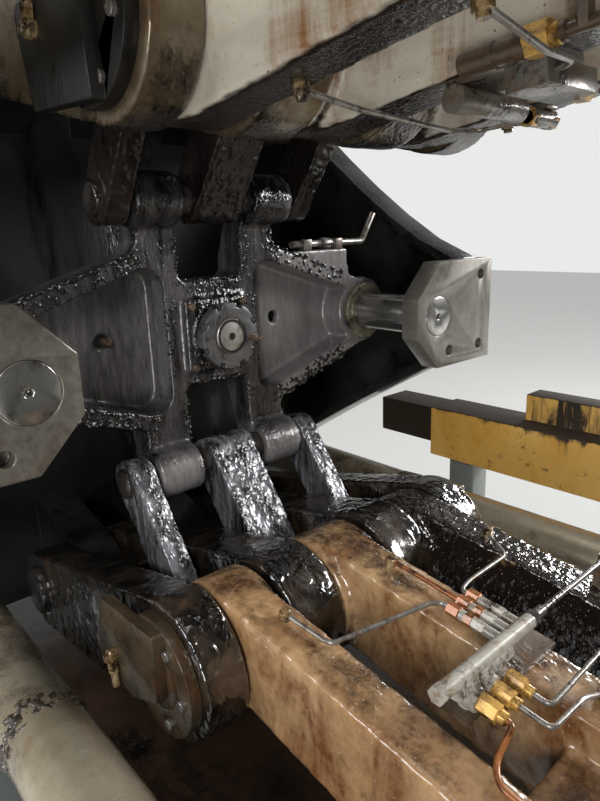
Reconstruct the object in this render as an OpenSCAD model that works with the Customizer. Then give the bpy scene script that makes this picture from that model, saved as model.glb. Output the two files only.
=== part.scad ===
// Clamp unit of a cold chamber die casting machine: double toggle between a rear platen
// and a moving platen, shown with its links nearly straight.
// X runs forward along the machine, Y across it, Z up. The origin is on the floor,
// under the middle of the whole unit.

/* [Machine layout] */
// Half the spacing of the two crosshead guide rods
guide_half = 400; // [300:5:500]
// Height of the machine's centre line over the floor
axis_height = 1000; // [900:10:1300]
// Front face of the guide rods' end blocks, back from it to the rear platen's front face
arm_length = 600; // [450:10:800]
// Thickness of the rear platen
rear_platen_t = 200; // [150:10:300]
// Half width of the platens
platen_half_w = 590; // [500:5:700]
// Half height of the platens
platen_half_h = 600; // [500:5:700]
// Size of the platens' corner chamfers
platen_chamfer = 90; // [20:5:150]

/* [Tie bars] */
// Diameter of the four tie bars
tie_d = 108; // [90:2:160]
// Half the spacing of the tie bars across the machine
tie_half_y = 452; // [400:2:520]
// Half the spacing of the tie bars up and down
tie_half_z = 438; // [400:2:520]
// Diameter of the tie bar nuts
tie_nut_d = 170; // [140:2:240]
// Length of one tie bar nut
tie_nut_l = 90; // [60:5:150]

/* [Guide rods and end blocks] */
// Diameter of the guide rods
rod_d = 80; // [60:1:100]
// Thickness of the end blocks
block_t = 40; // [25:1:60]
// Distance from a guide rod's centre to its end block's short inner edge
block_inner_edge = 65; // [55:1:90]
// Distance of an end block's outer edge from the centre plane
block_outer = 584; // [520:1:640]
// Half height of an end block
block_half_h = 106; // [80:1:150]
// Half length of the short upright edge on the inner side
block_flat = 39; // [20:1:70]
// Thickness of a side arm's web
arm_web = 30; // [16:1:50]
// Depth of a side arm's flanges
arm_flange = 76; // [50:2:120]
// Thickness of a side arm's flanges
arm_flange_t = 24; // [14:1:40]
// Height of a side arm's upper and lower edge where it meets the rear platen
arm_root = [505, 421];
// Bend of a side arm's upper and lower edge, 1 is straight
arm_bend = [1.28, 1.1];

/* [Crosshead] */
// Crosshead pins, behind the end blocks' front face
cross_pin_x = -194; // [-260:1:-120]
// Height of the crosshead pins over the centre line
cross_pin_z = 232; // [180:1:320]
// Diameter of the crosshead pins
cross_pin_d = 50; // [36:1:70]
// Outer radius of the bosses round the crosshead pins
cross_boss_r = 44; // [36:1:60]
// Inner and outer side of each boss, from the centre plane
boss_y = [72, 157];
// Depth of the crosshead casting from its front to its back
cross_depth = 80; // [60:2:140]
// Depth of the pockets in the wings
pocket_depth = 60; // [30:2:80]
// Half width of the windows between the upright arms
window_half = 68; // [50:1:80]
// Height of the windows' inner ends over and under the centre line
window_z = [97, 85];
// Half width of the body between the two pockets
waist_half = 96; // [80:1:120]
// Half width of the upright arms over the wings
arm_half = 140; // [120:1:160]
// Slope of the wings' edges
wing_slope = 0.33; // [0.1:0.01:0.6]
// Height of the wings' upper and lower edge at the arms' outer side
wing_z = [151, 152];
// Width of the wings' upper and lower flange
wing_flange = [30, 27];
// Corner radius of the pockets
pocket_r = 34; // [10:1:50]
// Corner radius of the windows
window_r = 16; // [5:1:30]
// Radius of the guide bosses at the ends of the wings
guide_boss_r = 72; // [60:1:95]
// Length of the guide bosses
guide_boss_l = 124; // [80:2:200]
// Outer radius of the seal rings on the guide bosses
seal_r = 60; // [52:1:70]
// Height of the oil pipe's pad on the right wing, over the centre line
pad_z = 136; // [120:1:160]
// Half width of the square plate behind the nut
hub_plate_half = 65; // [50:1:80]
// Diameter of the piston rod's end in the nut
piston_end_d = 62; // [40:1:80]
// Diameter of the piston rod
piston_rod_d = 90; // [60:1:110]
// Diameter of the castellated nut
piston_nut_d = 116; // [90:1:140]

/* [Toggle linkage] */
// Rear main pins, behind the end blocks' front face
main_pin_x = -420; // [-520:1:-360]
// Height of the rear and front main pins over the centre line
main_pin_z = 492; // [400:1:520]
// Knee pins, in front of the end blocks' front face
knee_x = 88; // [0:1:160]
// Height of the knee pins over the centre line, as photographed
knee_z = 388; // [340:1:440]
// Length of the front links between their pins
front_link_l = 807; // [600:1:1000]
// Small pins in the rear links, from the end blocks' front face
small_pin_x = -60; // [-150:1:0]
// Height of the small pins over the centre line
small_pin_z = 410; // [340:1:460]
// Diameter of the main and knee pins
main_pin_d = 90; // [70:1:120]
// Diameter of the small pins
small_pin_d = 44; // [30:1:60]
// Eye radius at the rear and front main pins
main_eye_r = 76; // [64:1:110]
// Outer radius of the rear link's outer plates at the knee
knee_boss_r = 100; // [80:1:120]
// Eye radius of the front link's beams at the knee
front_eye_r = 94; // [70:1:110]
// Eye radius of the small links
small_eye_r = 38; // [30:1:48]
// Rear link's inner plates, from the centre plane
plate_in_y = [60, 150];
// Rear link's outer plates, from the centre plane
plate_out_y = [240, 304];
// Front link's outer beams and the rear platen's outer lugs, from the centre plane
beam_y = [155, 235];
// Half width of the front link's middle beam and of the middle lug
mid_half = 55; // [40:1:58]
// Inner edge and outer edge of a front link's beam, from its pin line
beam_edges = [97, 44];
// Set-back of the beams' sides behind the sides of their eyes
beam_set_back = 11; // [0:1:25]
// Half width of the wide small link
wide_half = 48; // [40:1:56]
// Narrow small links, from the centre plane
narrow_y = [163, 206];
// Room round the small pins in the small links' outer eyes
open_gap_small = 4.5; // [0.5:0.1:8]
// Room round the front main pins in the front links' far eyes
open_gap_front = 3.5; // [0.5:0.1:8]
// Running fit of the other pins, on the radius
pin_fit = 0.05; // [0.01:0.01:0.1]

/* [Front platens] */
// Rear face of the moving platen, from the end blocks' front face
moving_x = 1080; // [1000:10:1400]
// Thickness of the moving platen
moving_t = 190; // [150:10:300]
// Open distance between the moving and the fixed platen
daylight = 440; // [300:10:900]
// Thickness of the fixed platen
fixed_t = 210; // [150:10:300]
// Radius of the shot sleeve's bore in the fixed platen
shot_bore_r = 60; // [40:1:90]
// Distance between the T-slots in the die faces
slot_pitch = 190; // [160:5:220]
// Width of a T-slot's mouth
slot_w = 28; // [18:2:36]

/* [Clamp cylinder] */
// Outer diameter of the clamp cylinder
cylinder_d = 260; // [180:10:340]
// Length of the clamp cylinder's barrel
cylinder_l = 620; // [500:10:900]
// Diameter of the cylinder's flanges
cylinder_flange_d = 360; // [260:10:420]

/* [Base frame] */
// Width of the frame's side beams
beam_w = 150; // [100:10:220]
// Plate thickness of the frame
frame_plate = 20; // [10:1:30]
// Height of the levelling feet
foot_h = 60; // [30:5:90]
// Diameter of the levelling feet
foot_d = 150; // [100:5:200]

/* [Side rail] */
// Inner side of the side rail, from the centre plane
rail_y = 604; // [590:1:700]
// Height of the rail's top under the centre line
rail_drop = 262; // [200:1:400]
// Height of the rail
rail_h = 124; // [80:1:200]
// Width of the rail
rail_w = 110; // [60:1:160]
// Length of the rail's orange box
rail_l = 1150; // [600:10:1600]
// Rear end of the orange box, behind the end blocks' front face
rail_start = 165; // [100:5:250]
// Length of the dark block at the rail's rear end
rail_block_l = 166; // [80:2:240]
// Ledge on the rail: its start, length and height
ledge = [225, 900, 62];
// Width of the two rail brackets
bracket_w = 70; // [40:5:120]

/* [Display] */
// Smoothness of round parts
$fn = 96; // [48:8:160]

/* [Hidden] */
x_rear = -arm_length;
x_rear_back = x_rear - rear_platen_t;
fixed_x = moving_x + moving_t + daylight;
fixed_front = fixed_x + fixed_t;
tie_front = fixed_front + tie_nut_l + 30;
cyl_back = x_rear_back - 60 - cylinder_l - 60;
x_mid = (cyl_back + tie_front) / 2;
y_mid = (rail_y + rail_w - platen_half_w) / 2;
rod_r = rod_d / 2;
tie_r = tie_d / 2;
pin_r = main_pin_d / 2;
knee = [knee_x, knee_z];
main_pin = [main_pin_x, main_pin_z];
small_pin = [small_pin_x, small_pin_z];
cross_pin = [cross_pin_x, cross_pin_z];
front_angle = asin((main_pin_z - knee_z) / front_link_l);
front_pin = [knee_x + front_link_l * cos(front_angle), main_pin_z];
cross_front = cross_pin_x - 6;
cross_back = cross_front - cross_depth;
bed_top = -platen_half_h - 40;
beam_h = axis_height + bed_top - foot_h;
block_inner = guide_half - block_inner_edge;
hub_front = cross_front + 12;
nut_t = 20;
nut_back = hub_front + 20;
piston_tip = nut_back + nut_t + 2;
boss_front = cross_front - 6;
cap_t = 16;
beyond = platen_half_w;

// Places the machine's own frame over the floor
module machine() {
  translate([-x_mid, -y_mid, axis_height]) children();
}

// Extrudes an outline drawn in X and Z from y0 to y1
module across(y0, y1) {
  translate([0, y1, 0]) rotate([90, 0, 0]) linear_extrude(y1 - y0) children();
}

// Extrudes an outline drawn in Y and Z from x0 to x1
module along(x0, x1) {
  translate([x0, 0, 0]) rotate([90, 0, 90]) linear_extrude(x1 - x0) children();
}

// Round bar across the machine at a point of the X-Z plane
module cross_bar(p, r, y0, y1) {
  translate([p[0], y0, p[1]]) rotate([-90, 0, 0]) cylinder(r = r, h = y1 - y0);
}

// Round bar along the machine
module long_bar(y, z, r, x0, x1) {
  translate([x0, y, z]) rotate([0, 90, 0]) cylinder(r = r, h = x1 - x0);
}

// Both sides of the centre plane
module both_sides() {
  children();
  mirror([0, 1, 0]) children();
}

// Top as drawn, or turned over for the bottom
module half_at(side) {
  if (side > 0) children();
  else mirror([0, 0, 1]) children();
}

// The four corners between two circles' outer tangents
function tangent_corners(a, ra, b, rb) =
  let (d = b - a, l = norm(d), t = atan2(d[1], d[0]), s = acos((ra - rb) / l))
  [a + ra * [cos(t + s), sin(t + s)], b + rb * [cos(t + s), sin(t + s)],
   b + rb * [cos(t - s), sin(t - s)], a + ra * [cos(t - s), sin(t - s)]];

// An outline with its corners rounded: one radius for each corner
function rounded(p, r, n = 6) = [for (i = [0:len(p) - 1])
  let (a = p[(i + len(p) - 1) % len(p)], b = p[i], c = p[(i + 1) % len(p)],
    u = (a - b) / norm(a - b), v = (c - b) / norm(c - b), h = acos(u * v) / 2,
    m = b + (u + v) / norm(u + v) * r[i] / sin(h), s = b + u * r[i] / tan(h) - m,
    e = b + v * r[i] / tan(h) - m, t0 = atan2(s[1], s[0]), t = atan2(e[1], e[0]) - t0,
    turn = t > 180 ? t - 360 : t < -180 ? t + 360 : t)
  each (r[i] == 0 ? [b] : [for (k = [0:n]) m + r[i] * [cos(t0 + turn * k / n),
    sin(t0 + turn * k / n)]])];

// Outline of a link with two round eyes
module link_outline(a, ra, b, rb) {
  translate(a) circle(r = ra);
  translate(b) circle(r = rb);
  polygon(tangent_corners(a, ra - 0.8, b, rb - 0.8));
}

// Platen outline with chamfered corners, seen along the machine
module platen_outline(w, h, c) {
  polygon([[-w + c, -h], [w - c, -h], [w, -h + c], [w, h - c], [w - c, h],
    [-w + c, h], [-w, h - c], [-w, -h + c]]);
}

// Tie bar bores of one platen
module tie_bores(x0, x1) {
  for (sy = [-1, 1], sz = [-1, 1])
    long_bar(sy * tie_half_y, sz * tie_half_z, tie_r, x0 - 1, x1 + 1);
}

// Feet under a platen that stands on the frame's side beams
module platen_feet(x0, x1) {
  for (s = [-1, 1])
    translate([x0, s * (platen_half_w - 110) - 80, bed_top]) cube([x1 - x0, 160, 60]);
}

// Vertical T-slots in a die face, cut from it towards dir
module t_slots(face_x, dir) {
  for (y = [-3, -1, 1, 3])
    translate([face_x, y * slot_pitch / 2, 0]) mirror([1 - dir, 0, 0]) {
      translate([-1, -slot_w / 2, -beyond * 2]) cube([slot_w, slot_w, beyond * 4]);
      translate([slot_w - 2, -slot_w * 0.85, -beyond * 2])
        cube([slot_w * 0.8, slot_w * 1.7, beyond * 4]);
    }
}

// Lug that carries a main pin, reaching back or forward to a platen face
module lug(p, r, face_x, y0, y1, root) {
  across(y0, y1) {
    translate(p) circle(r = r);
    polygon([[p[0], p[1] + r], [p[0], p[1] - r], [face_x, p[1] - r - root],
      [face_x, p[1] + r]]);
  }
}

module base_frame() {
  color([0.23, 0.25, 0.24]) machine() {
    // side beams: channels open to the inside
    both_sides() difference() {
      translate([x_rear_back - 40, platen_half_w - 35 - beam_w, bed_top - beam_h])
        cube([fixed_front - x_rear_back + 80, beam_w, beam_h]);
      translate([x_rear_back - 41, platen_half_w - 36 - beam_w, bed_top - beam_h + frame_plate])
        cube([fixed_front - x_rear_back + 82, beam_w - frame_plate + 1,
          beam_h - 2 * frame_plate]);
    }
    // cross members
    for (i = [0:3])
      translate([x_rear_back + 20 + i * (fixed_front - x_rear_back - 100) / 3,
        -platen_half_w + 30 + frame_plate, bed_top - beam_h + frame_plate])
        cube([60, 2 * (platen_half_w - 30 - frame_plate), beam_h - 2 * frame_plate - 40]);
  }
}

module oil_tray() {
  tray_y = platen_half_w - 36 - beam_w;
  color([0.16, 0.12, 0.10]) machine()
    translate([x_rear_back + 20, -tray_y, bed_top - frame_plate - 40])
      cube([fixed_front - x_rear_back - 40, 2 * tray_y, 8]);
}

module levelling_feet() {
  color([0.2, 0.2, 0.21]) machine()
    for (s = [-1, 1], i = [0:3])
      translate([x_rear_back + 50 + i * (fixed_front - x_rear_back - 100) / 3,
        s * (platen_half_w - 35 - beam_w / 2), -axis_height]) {
        cylinder(d = foot_d, h = foot_h / 2);
        cylinder(d = 60, h = axis_height + bed_top - beam_h);
      }
}

module rear_platen() {
  color([0.20, 0.22, 0.21]) machine() difference() {
    union() {
      along(x_rear_back, x_rear)
        platen_outline(platen_half_w, platen_half_h, platen_chamfer);
      platen_feet(x_rear_back, x_rear);
      for (side = [-1, 1]) half_at(side) {
        lug(main_pin, main_eye_r, x_rear, -mid_half, mid_half, 40);
        both_sides() lug(main_pin, main_eye_r, x_rear, beam_y[0], beam_y[1], 40);
      }
      long_bar(0, 0, 110, x_rear, x_rear + 40);
    }
    tie_bores(x_rear_back, x_rear);
    long_bar(0, 0, piston_rod_d / 2 + 6, x_rear_back - 1, x_rear + 41);
    for (s = [-1, 1])
      long_bar(s * guide_half, 0, rod_r, x_rear - 60, x_rear + 1);
    for (side = [-1, 1])
      cross_bar([main_pin[0], side * main_pin[1]], pin_r, -beyond, beyond);
  }
}

// Side arm that carries a guide rod's end block: a tapered channel
module side_arm() {
  n = 6;
  y1 = block_outer;
  function edge(side, t) =
    block_half_h + (arm_root[side] - block_half_h) * pow(1 - t, arm_bend[side]);
  function rim(side, inset) = [for (i = [0:n]) let (t = i / n)
    [x_rear + t * (arm_length - block_t), (1 - 2 * side) * (edge(side, t) - inset)]];
  function back(p) = [for (i = [n:-1:0]) p[i]];
  across(y1 - arm_web, y1) polygon(concat(rim(0, 0), back(rim(1, 0))));
  for (side = [0, 1])
    across(y1 - arm_flange, y1 - arm_web)
      polygon(concat(rim(side, 0), back(rim(side, arm_flange_t))));
}

module left_side_arm() {
  color([0.42, 0.44, 0.43]) machine() mirror([0, 1, 0]) side_arm();
}

module right_side_arm() {
  color([0.42, 0.44, 0.43]) machine() side_arm();
}

// End block: a plate with its two inner corners cut off
module end_block() {
  difference() {
    along(-block_t, 0)
      polygon([[block_outer, -block_half_h], [block_outer, block_half_h],
        [guide_half, block_half_h], [block_inner, block_flat],
        [block_inner, -block_flat], [guide_half, -block_half_h]]);
    long_bar(guide_half, 0, rod_r, -block_t - 1, 1);
    for (p = [[guide_half + 38, -1], [block_outer - 40, 1], [block_outer - 40, -1]])
      long_bar(p[0], p[1] * (block_half_h - 32), 11, -block_t / 2, 1);
  }
}

module left_end_block() {
  color([0.55, 0.57, 0.55]) machine() mirror([0, 1, 0]) end_block();
}

module right_end_block() {
  color([0.55, 0.57, 0.55]) machine() end_block();
}

module guide_rod() {
  difference() {
    long_bar(guide_half, 0, rod_r, x_rear - 60, 0);
    long_bar(guide_half, 0, 5, -12, 1);
  }
}

module left_guide_rod() {
  color([0.62, 0.63, 0.62]) machine() mirror([0, 1, 0]) guide_rod();
}

module right_guide_rod() {
  color([0.62, 0.63, 0.62]) machine() guide_rod();
}

module clamp_cylinder() {
  color([0.30, 0.33, 0.34]) machine() difference() {
    union() {
      long_bar(0, 0, cylinder_flange_d / 2, x_rear_back - 60, x_rear_back);
      long_bar(0, 0, cylinder_d / 2, x_rear_back - 60 - cylinder_l, x_rear_back - 59);
      long_bar(0, 0, cylinder_d / 2 + 30, cyl_back, cyl_back + 61);
      // oil ports on top, near each end of the barrel
      for (x = [cyl_back + 90, x_rear_back - 190])
        translate([x, -45, 0]) cube([100, 90, cylinder_d / 2 + 40]);
    }
    for (x = [cyl_back + 140, x_rear_back - 140])
      translate([x, 0, cylinder_d / 2 - 40]) cylinder(r = 17, h = 90);
    long_bar(0, 0, cylinder_d / 2 - 35, x_rear_back - 40 - cylinder_l, x_rear_back - 60);
    long_bar(0, 0, piston_rod_d / 2 + 1, x_rear_back - 61, x_rear_back + 1);
  }
}

module rear_main_pins() {
  color([0.5, 0.5, 0.5]) machine()
    for (side = [-1, 1])
      cross_bar([main_pin[0], side * main_pin[1]], pin_r, -plate_out_y[1] - 12,
        plate_out_y[1] + 12);
}

module tie_pair(side) {
  for (sy = [-1, 1])
    long_bar(sy * tie_half_y, side * tie_half_z, tie_r, x_rear_back - tie_nut_l - 30,
      tie_front);
}

module upper_tie_bars() {
  color([0.6, 0.61, 0.6]) machine() tie_pair(1);
}

module lower_tie_bars() {
  color([0.6, 0.61, 0.6]) machine() tie_pair(-1);
}

module tie_bar_nuts() {
  color([0.36, 0.27, 0.2]) machine()
    for (sy = [-1, 1], sz = [-1, 1]) {
      for (x = [x_rear_back - tie_nut_l, fixed_front])
        difference() {
          long_bar(sy * tie_half_y, sz * tie_half_z, tie_nut_d / 2, x, x + tie_nut_l);
          long_bar(sy * tie_half_y, sz * tie_half_z, tie_r, x - 1, x + tie_nut_l + 1);
        }
    }
}

module fixed_platen() {
  color([0.33, 0.36, 0.36]) machine() difference() {
    union() {
      along(fixed_x, fixed_front)
        platen_outline(platen_half_w, platen_half_h, platen_chamfer);
      platen_feet(fixed_x, fixed_front);
    }
    tie_bores(fixed_x, fixed_front);
    long_bar(0, -120, shot_bore_r, fixed_x - 1, fixed_front + 1);
    t_slots(fixed_x, 1);
  }
}

module side_rail() {
  x0 = -rail_start;
  z0 = -rail_drop - rail_h;
  color([0.72, 0.47, 0.12]) machine() {
    translate([x0, rail_y, z0]) cube([rail_l, rail_w, rail_h]);
    translate([x0 - rail_block_l, rail_y + 6, z0 + rail_h / 4])
      cube([rail_block_l, rail_w - 12, rail_h * 0.72]);
    translate([x0 + ledge[0], rail_y + rail_w / 2 - 5, -rail_drop])
      cube([ledge[1], rail_w / 2 + 5, ledge[2]]);
  }
}

module rail_brackets() {
  post_y = rail_y + 20;
  foot_z = bed_top - 60;
  color([0.25, 0.26, 0.26]) machine()
    for (x = [45 - rail_start, rail_l - rail_start - 225]) {
      translate([x, post_y, foot_z])
        cube([bracket_w, rail_w / 2 + 5, -rail_drop - rail_h - foot_z]);
      translate([x, platen_half_w - 35, foot_z])
        cube([bracket_w, post_y - platen_half_w + 35, 50]);
    }
}

// Height of a wing's edge at distance y, above (0) or below (1) the centre line
function wing_edge(i, y, inset = 0) =
  (1 - 2 * i) * (wing_z[i] - wing_slope * (y - arm_half) - inset);

// Right half of the crosshead's outline, seen from the front
module cross_outline() {
  w = window_half;
  a = arm_half;
  z = cross_pin_z;
  g = guide_half;
  polygon(rounded([[0, window_z[0]], [w, window_z[0]], [w, z], [a, z],
    [a, wing_edge(0, a)], [g, wing_edge(0, g)], [g, wing_edge(1, g)],
    [a + 10, wing_edge(1, a + 10)], [a + 17, -z], [w, -z], [w, -window_z[1]],
    [0, -window_z[1]]],
    [0, window_r, 0, 0, 24, 0, 0, 20, 0, 0, window_r, 0]));
}

// Pocket in a wing, between its two flanges
module pocket_outline() {
  w = waist_half;
  g = guide_half;
  f = wing_flange;
  polygon(rounded([[w, wing_edge(0, w, f[0])], [g, wing_edge(0, g, f[0])],
    [g, wing_edge(1, g, f[1])], [w, wing_edge(1, w, f[1])]],
    [pocket_r, 0, 0, pocket_r]));
}

// Raised pad for the oil pipe on the right wing's upper flange
module oil_pad() {
  along(cross_front - 24, cross_front)
    polygon(rounded([[guide_half - 198, wing_edge(0, guide_half - 198, 10)],
      [guide_half - 198, pad_z], [guide_half - 52, pad_z], [guide_half - 48, 60]],
      [0, 8, 8, 0]));
}

module crosshead() {
  color([0.30, 0.31, 0.31]) machine() difference() {
    union() {
      difference() {
        both_sides() along(cross_back, cross_front) cross_outline();
        both_sides() along(cross_front - pocket_depth, cross_front + 1) pocket_outline();
        // arms slimmer towards the pins
        for (side = [-1, 1])
          half_at(side) across(-arm_half - 40, arm_half + 40)
            polygon([[cross_back - 1, cross_pin_z * 0.55], [cross_pin_x - cross_boss_r,
              cross_pin_z], [cross_pin_x - cross_boss_r, cross_pin_z + 1],
              [cross_back - 1, cross_pin_z + 1]]);
        // holes through the wings' webs
        both_sides() long_bar(guide_half * 0.47, 4, 13, cross_back - 1, cross_front + 1);
      }
      both_sides() {
        for (side = [-1, 1])
          cross_bar([cross_pin_x, side * cross_pin_z], cross_boss_r, boss_y[0], boss_y[1]);
        long_bar(guide_half, 0, guide_boss_r, boss_front - guide_boss_l, boss_front);
      }
      // square plate and collar behind the nut
      along(cross_front - 1, hub_front)
        square(2 * hub_plate_half, center = true);
      long_bar(0, 0, piston_nut_d / 2 - 8, hub_front - 1, nut_back);
      oil_pad();
    }
    long_bar(0, 0, piston_end_d / 2, cross_back - 1, nut_back + 1);
    for (s = [-1, 1]) {
      long_bar(s * guide_half, 0, rod_r + 8, boss_front - guide_boss_l - 1, boss_front + 1);
      long_bar(s * guide_half, 0, seal_r + 1, boss_front, cross_front + 1);
      cross_bar([cross_pin_x, s * cross_pin_z], cross_pin_d / 2, -beyond, beyond);
    }
  }
}

module guide_bushings() {
  color([0.45, 0.42, 0.28]) machine()
    for (s = [-1, 1])
      difference() {
        union() {
          long_bar(s * guide_half, 0, rod_r + 8, boss_front - guide_boss_l, boss_front);
          long_bar(s * guide_half, 0, seal_r, boss_front, boss_front + 12);
        }
        long_bar(s * guide_half, 0, rod_r + pin_fit, boss_front - guide_boss_l - 1,
          boss_front + 13);
      }
}

module piston_rod() {
  color([0.6, 0.6, 0.6]) machine() {
    long_bar(0, 0, piston_end_d / 2, cross_back - 1, piston_tip);
    long_bar(0, 0, piston_rod_d / 2, x_rear_back - 300, cross_back);
    long_bar(0, 0, cylinder_d / 2 - 36, x_rear_back - 380, x_rear_back - 300);
  }
}

module piston_nut() {
  slots = 8;
  color([0.32, 0.32, 0.32]) machine() difference() {
    long_bar(0, 0, piston_nut_d / 2, nut_back, nut_back + nut_t);
    long_bar(0, 0, piston_end_d / 2, nut_back - 1, nut_back + nut_t + 1);
    for (i = [0:slots - 1])
      translate([nut_back - 1, 0, 0]) rotate([(i + 0.5) * 360 / slots, 0, 0])
        translate([0, piston_nut_d / 2 - 7, -6]) cube([nut_t + 2, 20, 12]);
  }
}

module crosshead_pins() {
  color([0.5, 0.5, 0.5]) machine()
    for (side = [-1, 1])
      cross_bar([cross_pin[0], side * cross_pin[1]], cross_pin_d / 2, -narrow_y[1] - 6,
        narrow_y[1] + 6);
}

// Small link between a crosshead pin and a rear link's small pin
module small_link(y0, y1) {
  difference() {
    union() {
      cross_bar(cross_pin, small_eye_r + 2, y0, y1);
      cross_bar(small_pin, small_eye_r, y0, y1);
      across(y0 + 2, y1 - 2)
        polygon(tangent_corners(cross_pin, small_eye_r + 1, small_pin, small_eye_r - 1));
    }
    cross_bar(cross_pin, cross_pin_d / 2 + pin_fit, y0 - 1, y1 + 1);
    cross_bar(small_pin, small_pin_d / 2 + open_gap_small, y0 - 1, y1 + 1);
  }
}

module wide_link(side) {
  half_at(side) small_link(-wide_half, wide_half);
}

module narrow_links(side) {
  half_at(side) both_sides() small_link(narrow_y[0], narrow_y[1]);
}

module upper_wide_link() {
  color([0.33, 0.33, 0.36]) machine() wide_link(1);
}

module upper_narrow_links() {
  color([0.33, 0.33, 0.36]) machine() narrow_links(1);
}

module lower_wide_link() {
  color([0.33, 0.33, 0.36]) machine() wide_link(-1);
}

module lower_narrow_links() {
  color([0.33, 0.33, 0.36]) machine() narrow_links(-1);
}

// Rear link: four plates between the rear main pin and the knee pin
module rear_link() {
  mid = (main_pin + knee) / 2;
  slope = atan2(knee[1] - main_pin[1], knee[0] - main_pin[0]);
  difference() {
    union() {
      both_sides() {
        across(plate_out_y[0], plate_out_y[1])
          link_outline(main_pin, main_eye_r, knee, knee_boss_r);
        across(plate_in_y[0], plate_in_y[1]) {
          link_outline(main_pin, main_eye_r, knee, knee_boss_r);
          translate(small_pin) circle(r = small_eye_r + 6);
        }
      }
      // web that ties the four plates together
      translate([mid[0] - 75, 0, mid[1]]) rotate([0, -slope, 0])
        translate([-52, -plate_out_y[0] - 1, -45]) cube([104, 2 * plate_out_y[0] + 2, 90]);
    }
    cross_bar(main_pin, pin_r + pin_fit, -beyond, beyond);
    cross_bar(knee, pin_r, -beyond, beyond);
    cross_bar(small_pin, small_pin_d / 2, -beyond, beyond);
  }
}

module upper_rear_link() {
  color([0.34, 0.31, 0.29]) machine() rear_link();
}

module lower_rear_link() {
  color([0.34, 0.31, 0.29]) machine() mirror([0, 0, 1]) rear_link();
}

module knee_pin(side) {
  cross_bar([knee[0], side * knee[1]], pin_r, -plate_out_y[1] - cap_t, plate_out_y[1] + cap_t);
}

module upper_knee_pin() {
  color([0.5, 0.45, 0.38]) machine() knee_pin(1);
}

module lower_knee_pin() {
  color([0.5, 0.45, 0.38]) machine() knee_pin(-1);
}

module small_pin_bar(side) {
  cross_bar([small_pin[0], side * small_pin[1]], small_pin_d / 2, -narrow_y[1] - 4,
    narrow_y[1] + 4);
}

module upper_small_pin() {
  color([0.5, 0.5, 0.5]) machine() small_pin_bar(1);
}

module lower_small_pin() {
  color([0.5, 0.5, 0.5]) machine() small_pin_bar(-1);
}

// Cover rings on the ends of a knee pin, and the keeper plates over them
module pin_covers(side) {
  y0 = plate_out_y[1];
  r = knee_boss_r;
  both_sides() {
    difference() {
      cross_bar([knee[0], side * knee[1]], r * 0.84, y0, y0 + cap_t);
      cross_bar([knee[0], side * knee[1]], pin_r, y0 - 1, y0 + cap_t + 1);
    }
    half_at(side) translate([knee[0], 0, knee[1]]) across(y0 + cap_t, y0 + 2 * cap_t)
      polygon(rounded(r * [[-1.24, -0.7], [0.3, -0.8], [0.24, 0.22], [-0.5, 0.54],
        [-1.5, 0.42]], [10, 4, 8, 12, 12]));
  }
}

module upper_pin_covers() {
  color([0.45, 0.38, 0.3]) machine() pin_covers(1);
}

module lower_pin_covers() {
  color([0.45, 0.38, 0.3]) machine() pin_covers(-1);
}

// Front link: three beams from the knee pin to the moving platen's pin
module front_link() {
  far_r = main_eye_r + 6;
  dir = [cos(front_angle), sin(front_angle)];
  side = [-sin(front_angle), cos(front_angle)];
  inner0 = knee + dir * 10 - side * beam_edges[0];
  outer0 = knee + dir * 70 + side * beam_edges[1];
  inner1 = front_pin - dir * 110 - side * beam_edges[0];
  eye1 = front_pin - dir * 20 - side * (far_r - 3);
  outer1 = front_pin - dir * 60 + side * (far_r - 22);
  in = beam_set_back;
  difference() {
    union() {
      // each beam: an eye at each end, and a slimmer body between them
      for (r = [[-beam_y[1], -beam_y[0], 2, in], [-mid_half, mid_half, 1.5 * in, 1.5 * in],
        [beam_y[0], beam_y[1], in, 2]]) {
        across(r[0], r[1]) {
          translate(knee) circle(r = front_eye_r);
          translate(front_pin) circle(r = far_r);
        }
        across(r[0] + r[2], r[1] - r[3]) polygon([inner0, inner1, eye1, outer1, outer0, knee]);
      }
      // rib between the beams
      translate([knee[0], 0, knee[1]]) rotate([0, -front_angle, 0])
        translate([front_link_l * 0.52, -beam_y[0] - 2 * in, -50])
          cube([front_link_l * 0.19, 2 * beam_y[0] + 4 * in, 76]);
    }
    cross_bar(knee, pin_r + pin_fit, -beyond, beyond);
    cross_bar(front_pin, pin_r + open_gap_front, -beyond, beyond);
  }
}

module upper_front_link() {
  color([0.72, 0.68, 0.6]) machine() front_link();
}

module lower_front_link() {
  color([0.45, 0.33, 0.25]) machine() mirror([0, 0, 1]) front_link();
}

// Points along a pipe's route, with each corner bent over length a
function bent(p, a) = [for (i = [0:len(p) - 1])
  each (i == 0 || i == len(p) - 1 ? [p[i]] :
    let (u = (p[i - 1] - p[i]) / norm(p[i - 1] - p[i]),
      v = (p[i + 1] - p[i]) / norm(p[i + 1] - p[i]))
    [for (t = [0:0.25:1]) p[i] + a * (u * (1 - t) * (1 - t) + v * t * t)])];

// Ring of n points round a route's point q, across direction t
function ring(q, t, r, n) = let (u = cross([0, 0, 1], t), v = cross(t, u))
  [for (k = [0:n - 1]) q + r * (cos(360 * k / n) * u / norm(u) + sin(360 * k / n) * v / norm(v))];

// A bent pipe through a list of points
module pipe(points, r = 3.5, a = 8, n = 12) {
  q = bent(points, a);
  last = len(q) - 1;
  polyhedron([for (i = [0:last]) each ring(q[i], q[min(i + 1, last)] - q[max(i - 1, 0)], r, n)],
    concat([[for (k = [0:n - 1]) k]], [[for (k = [n - 1:-1:0]) last * n + k]],
      [for (i = [0:last - 1], k = [0:n - 1]) let (a0 = i * n + k, a1 = i * n + (k + 1) % n)
        each [[a0, a0 + n, a1 + n], [a0, a1 + n, a1]]]));
}

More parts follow.
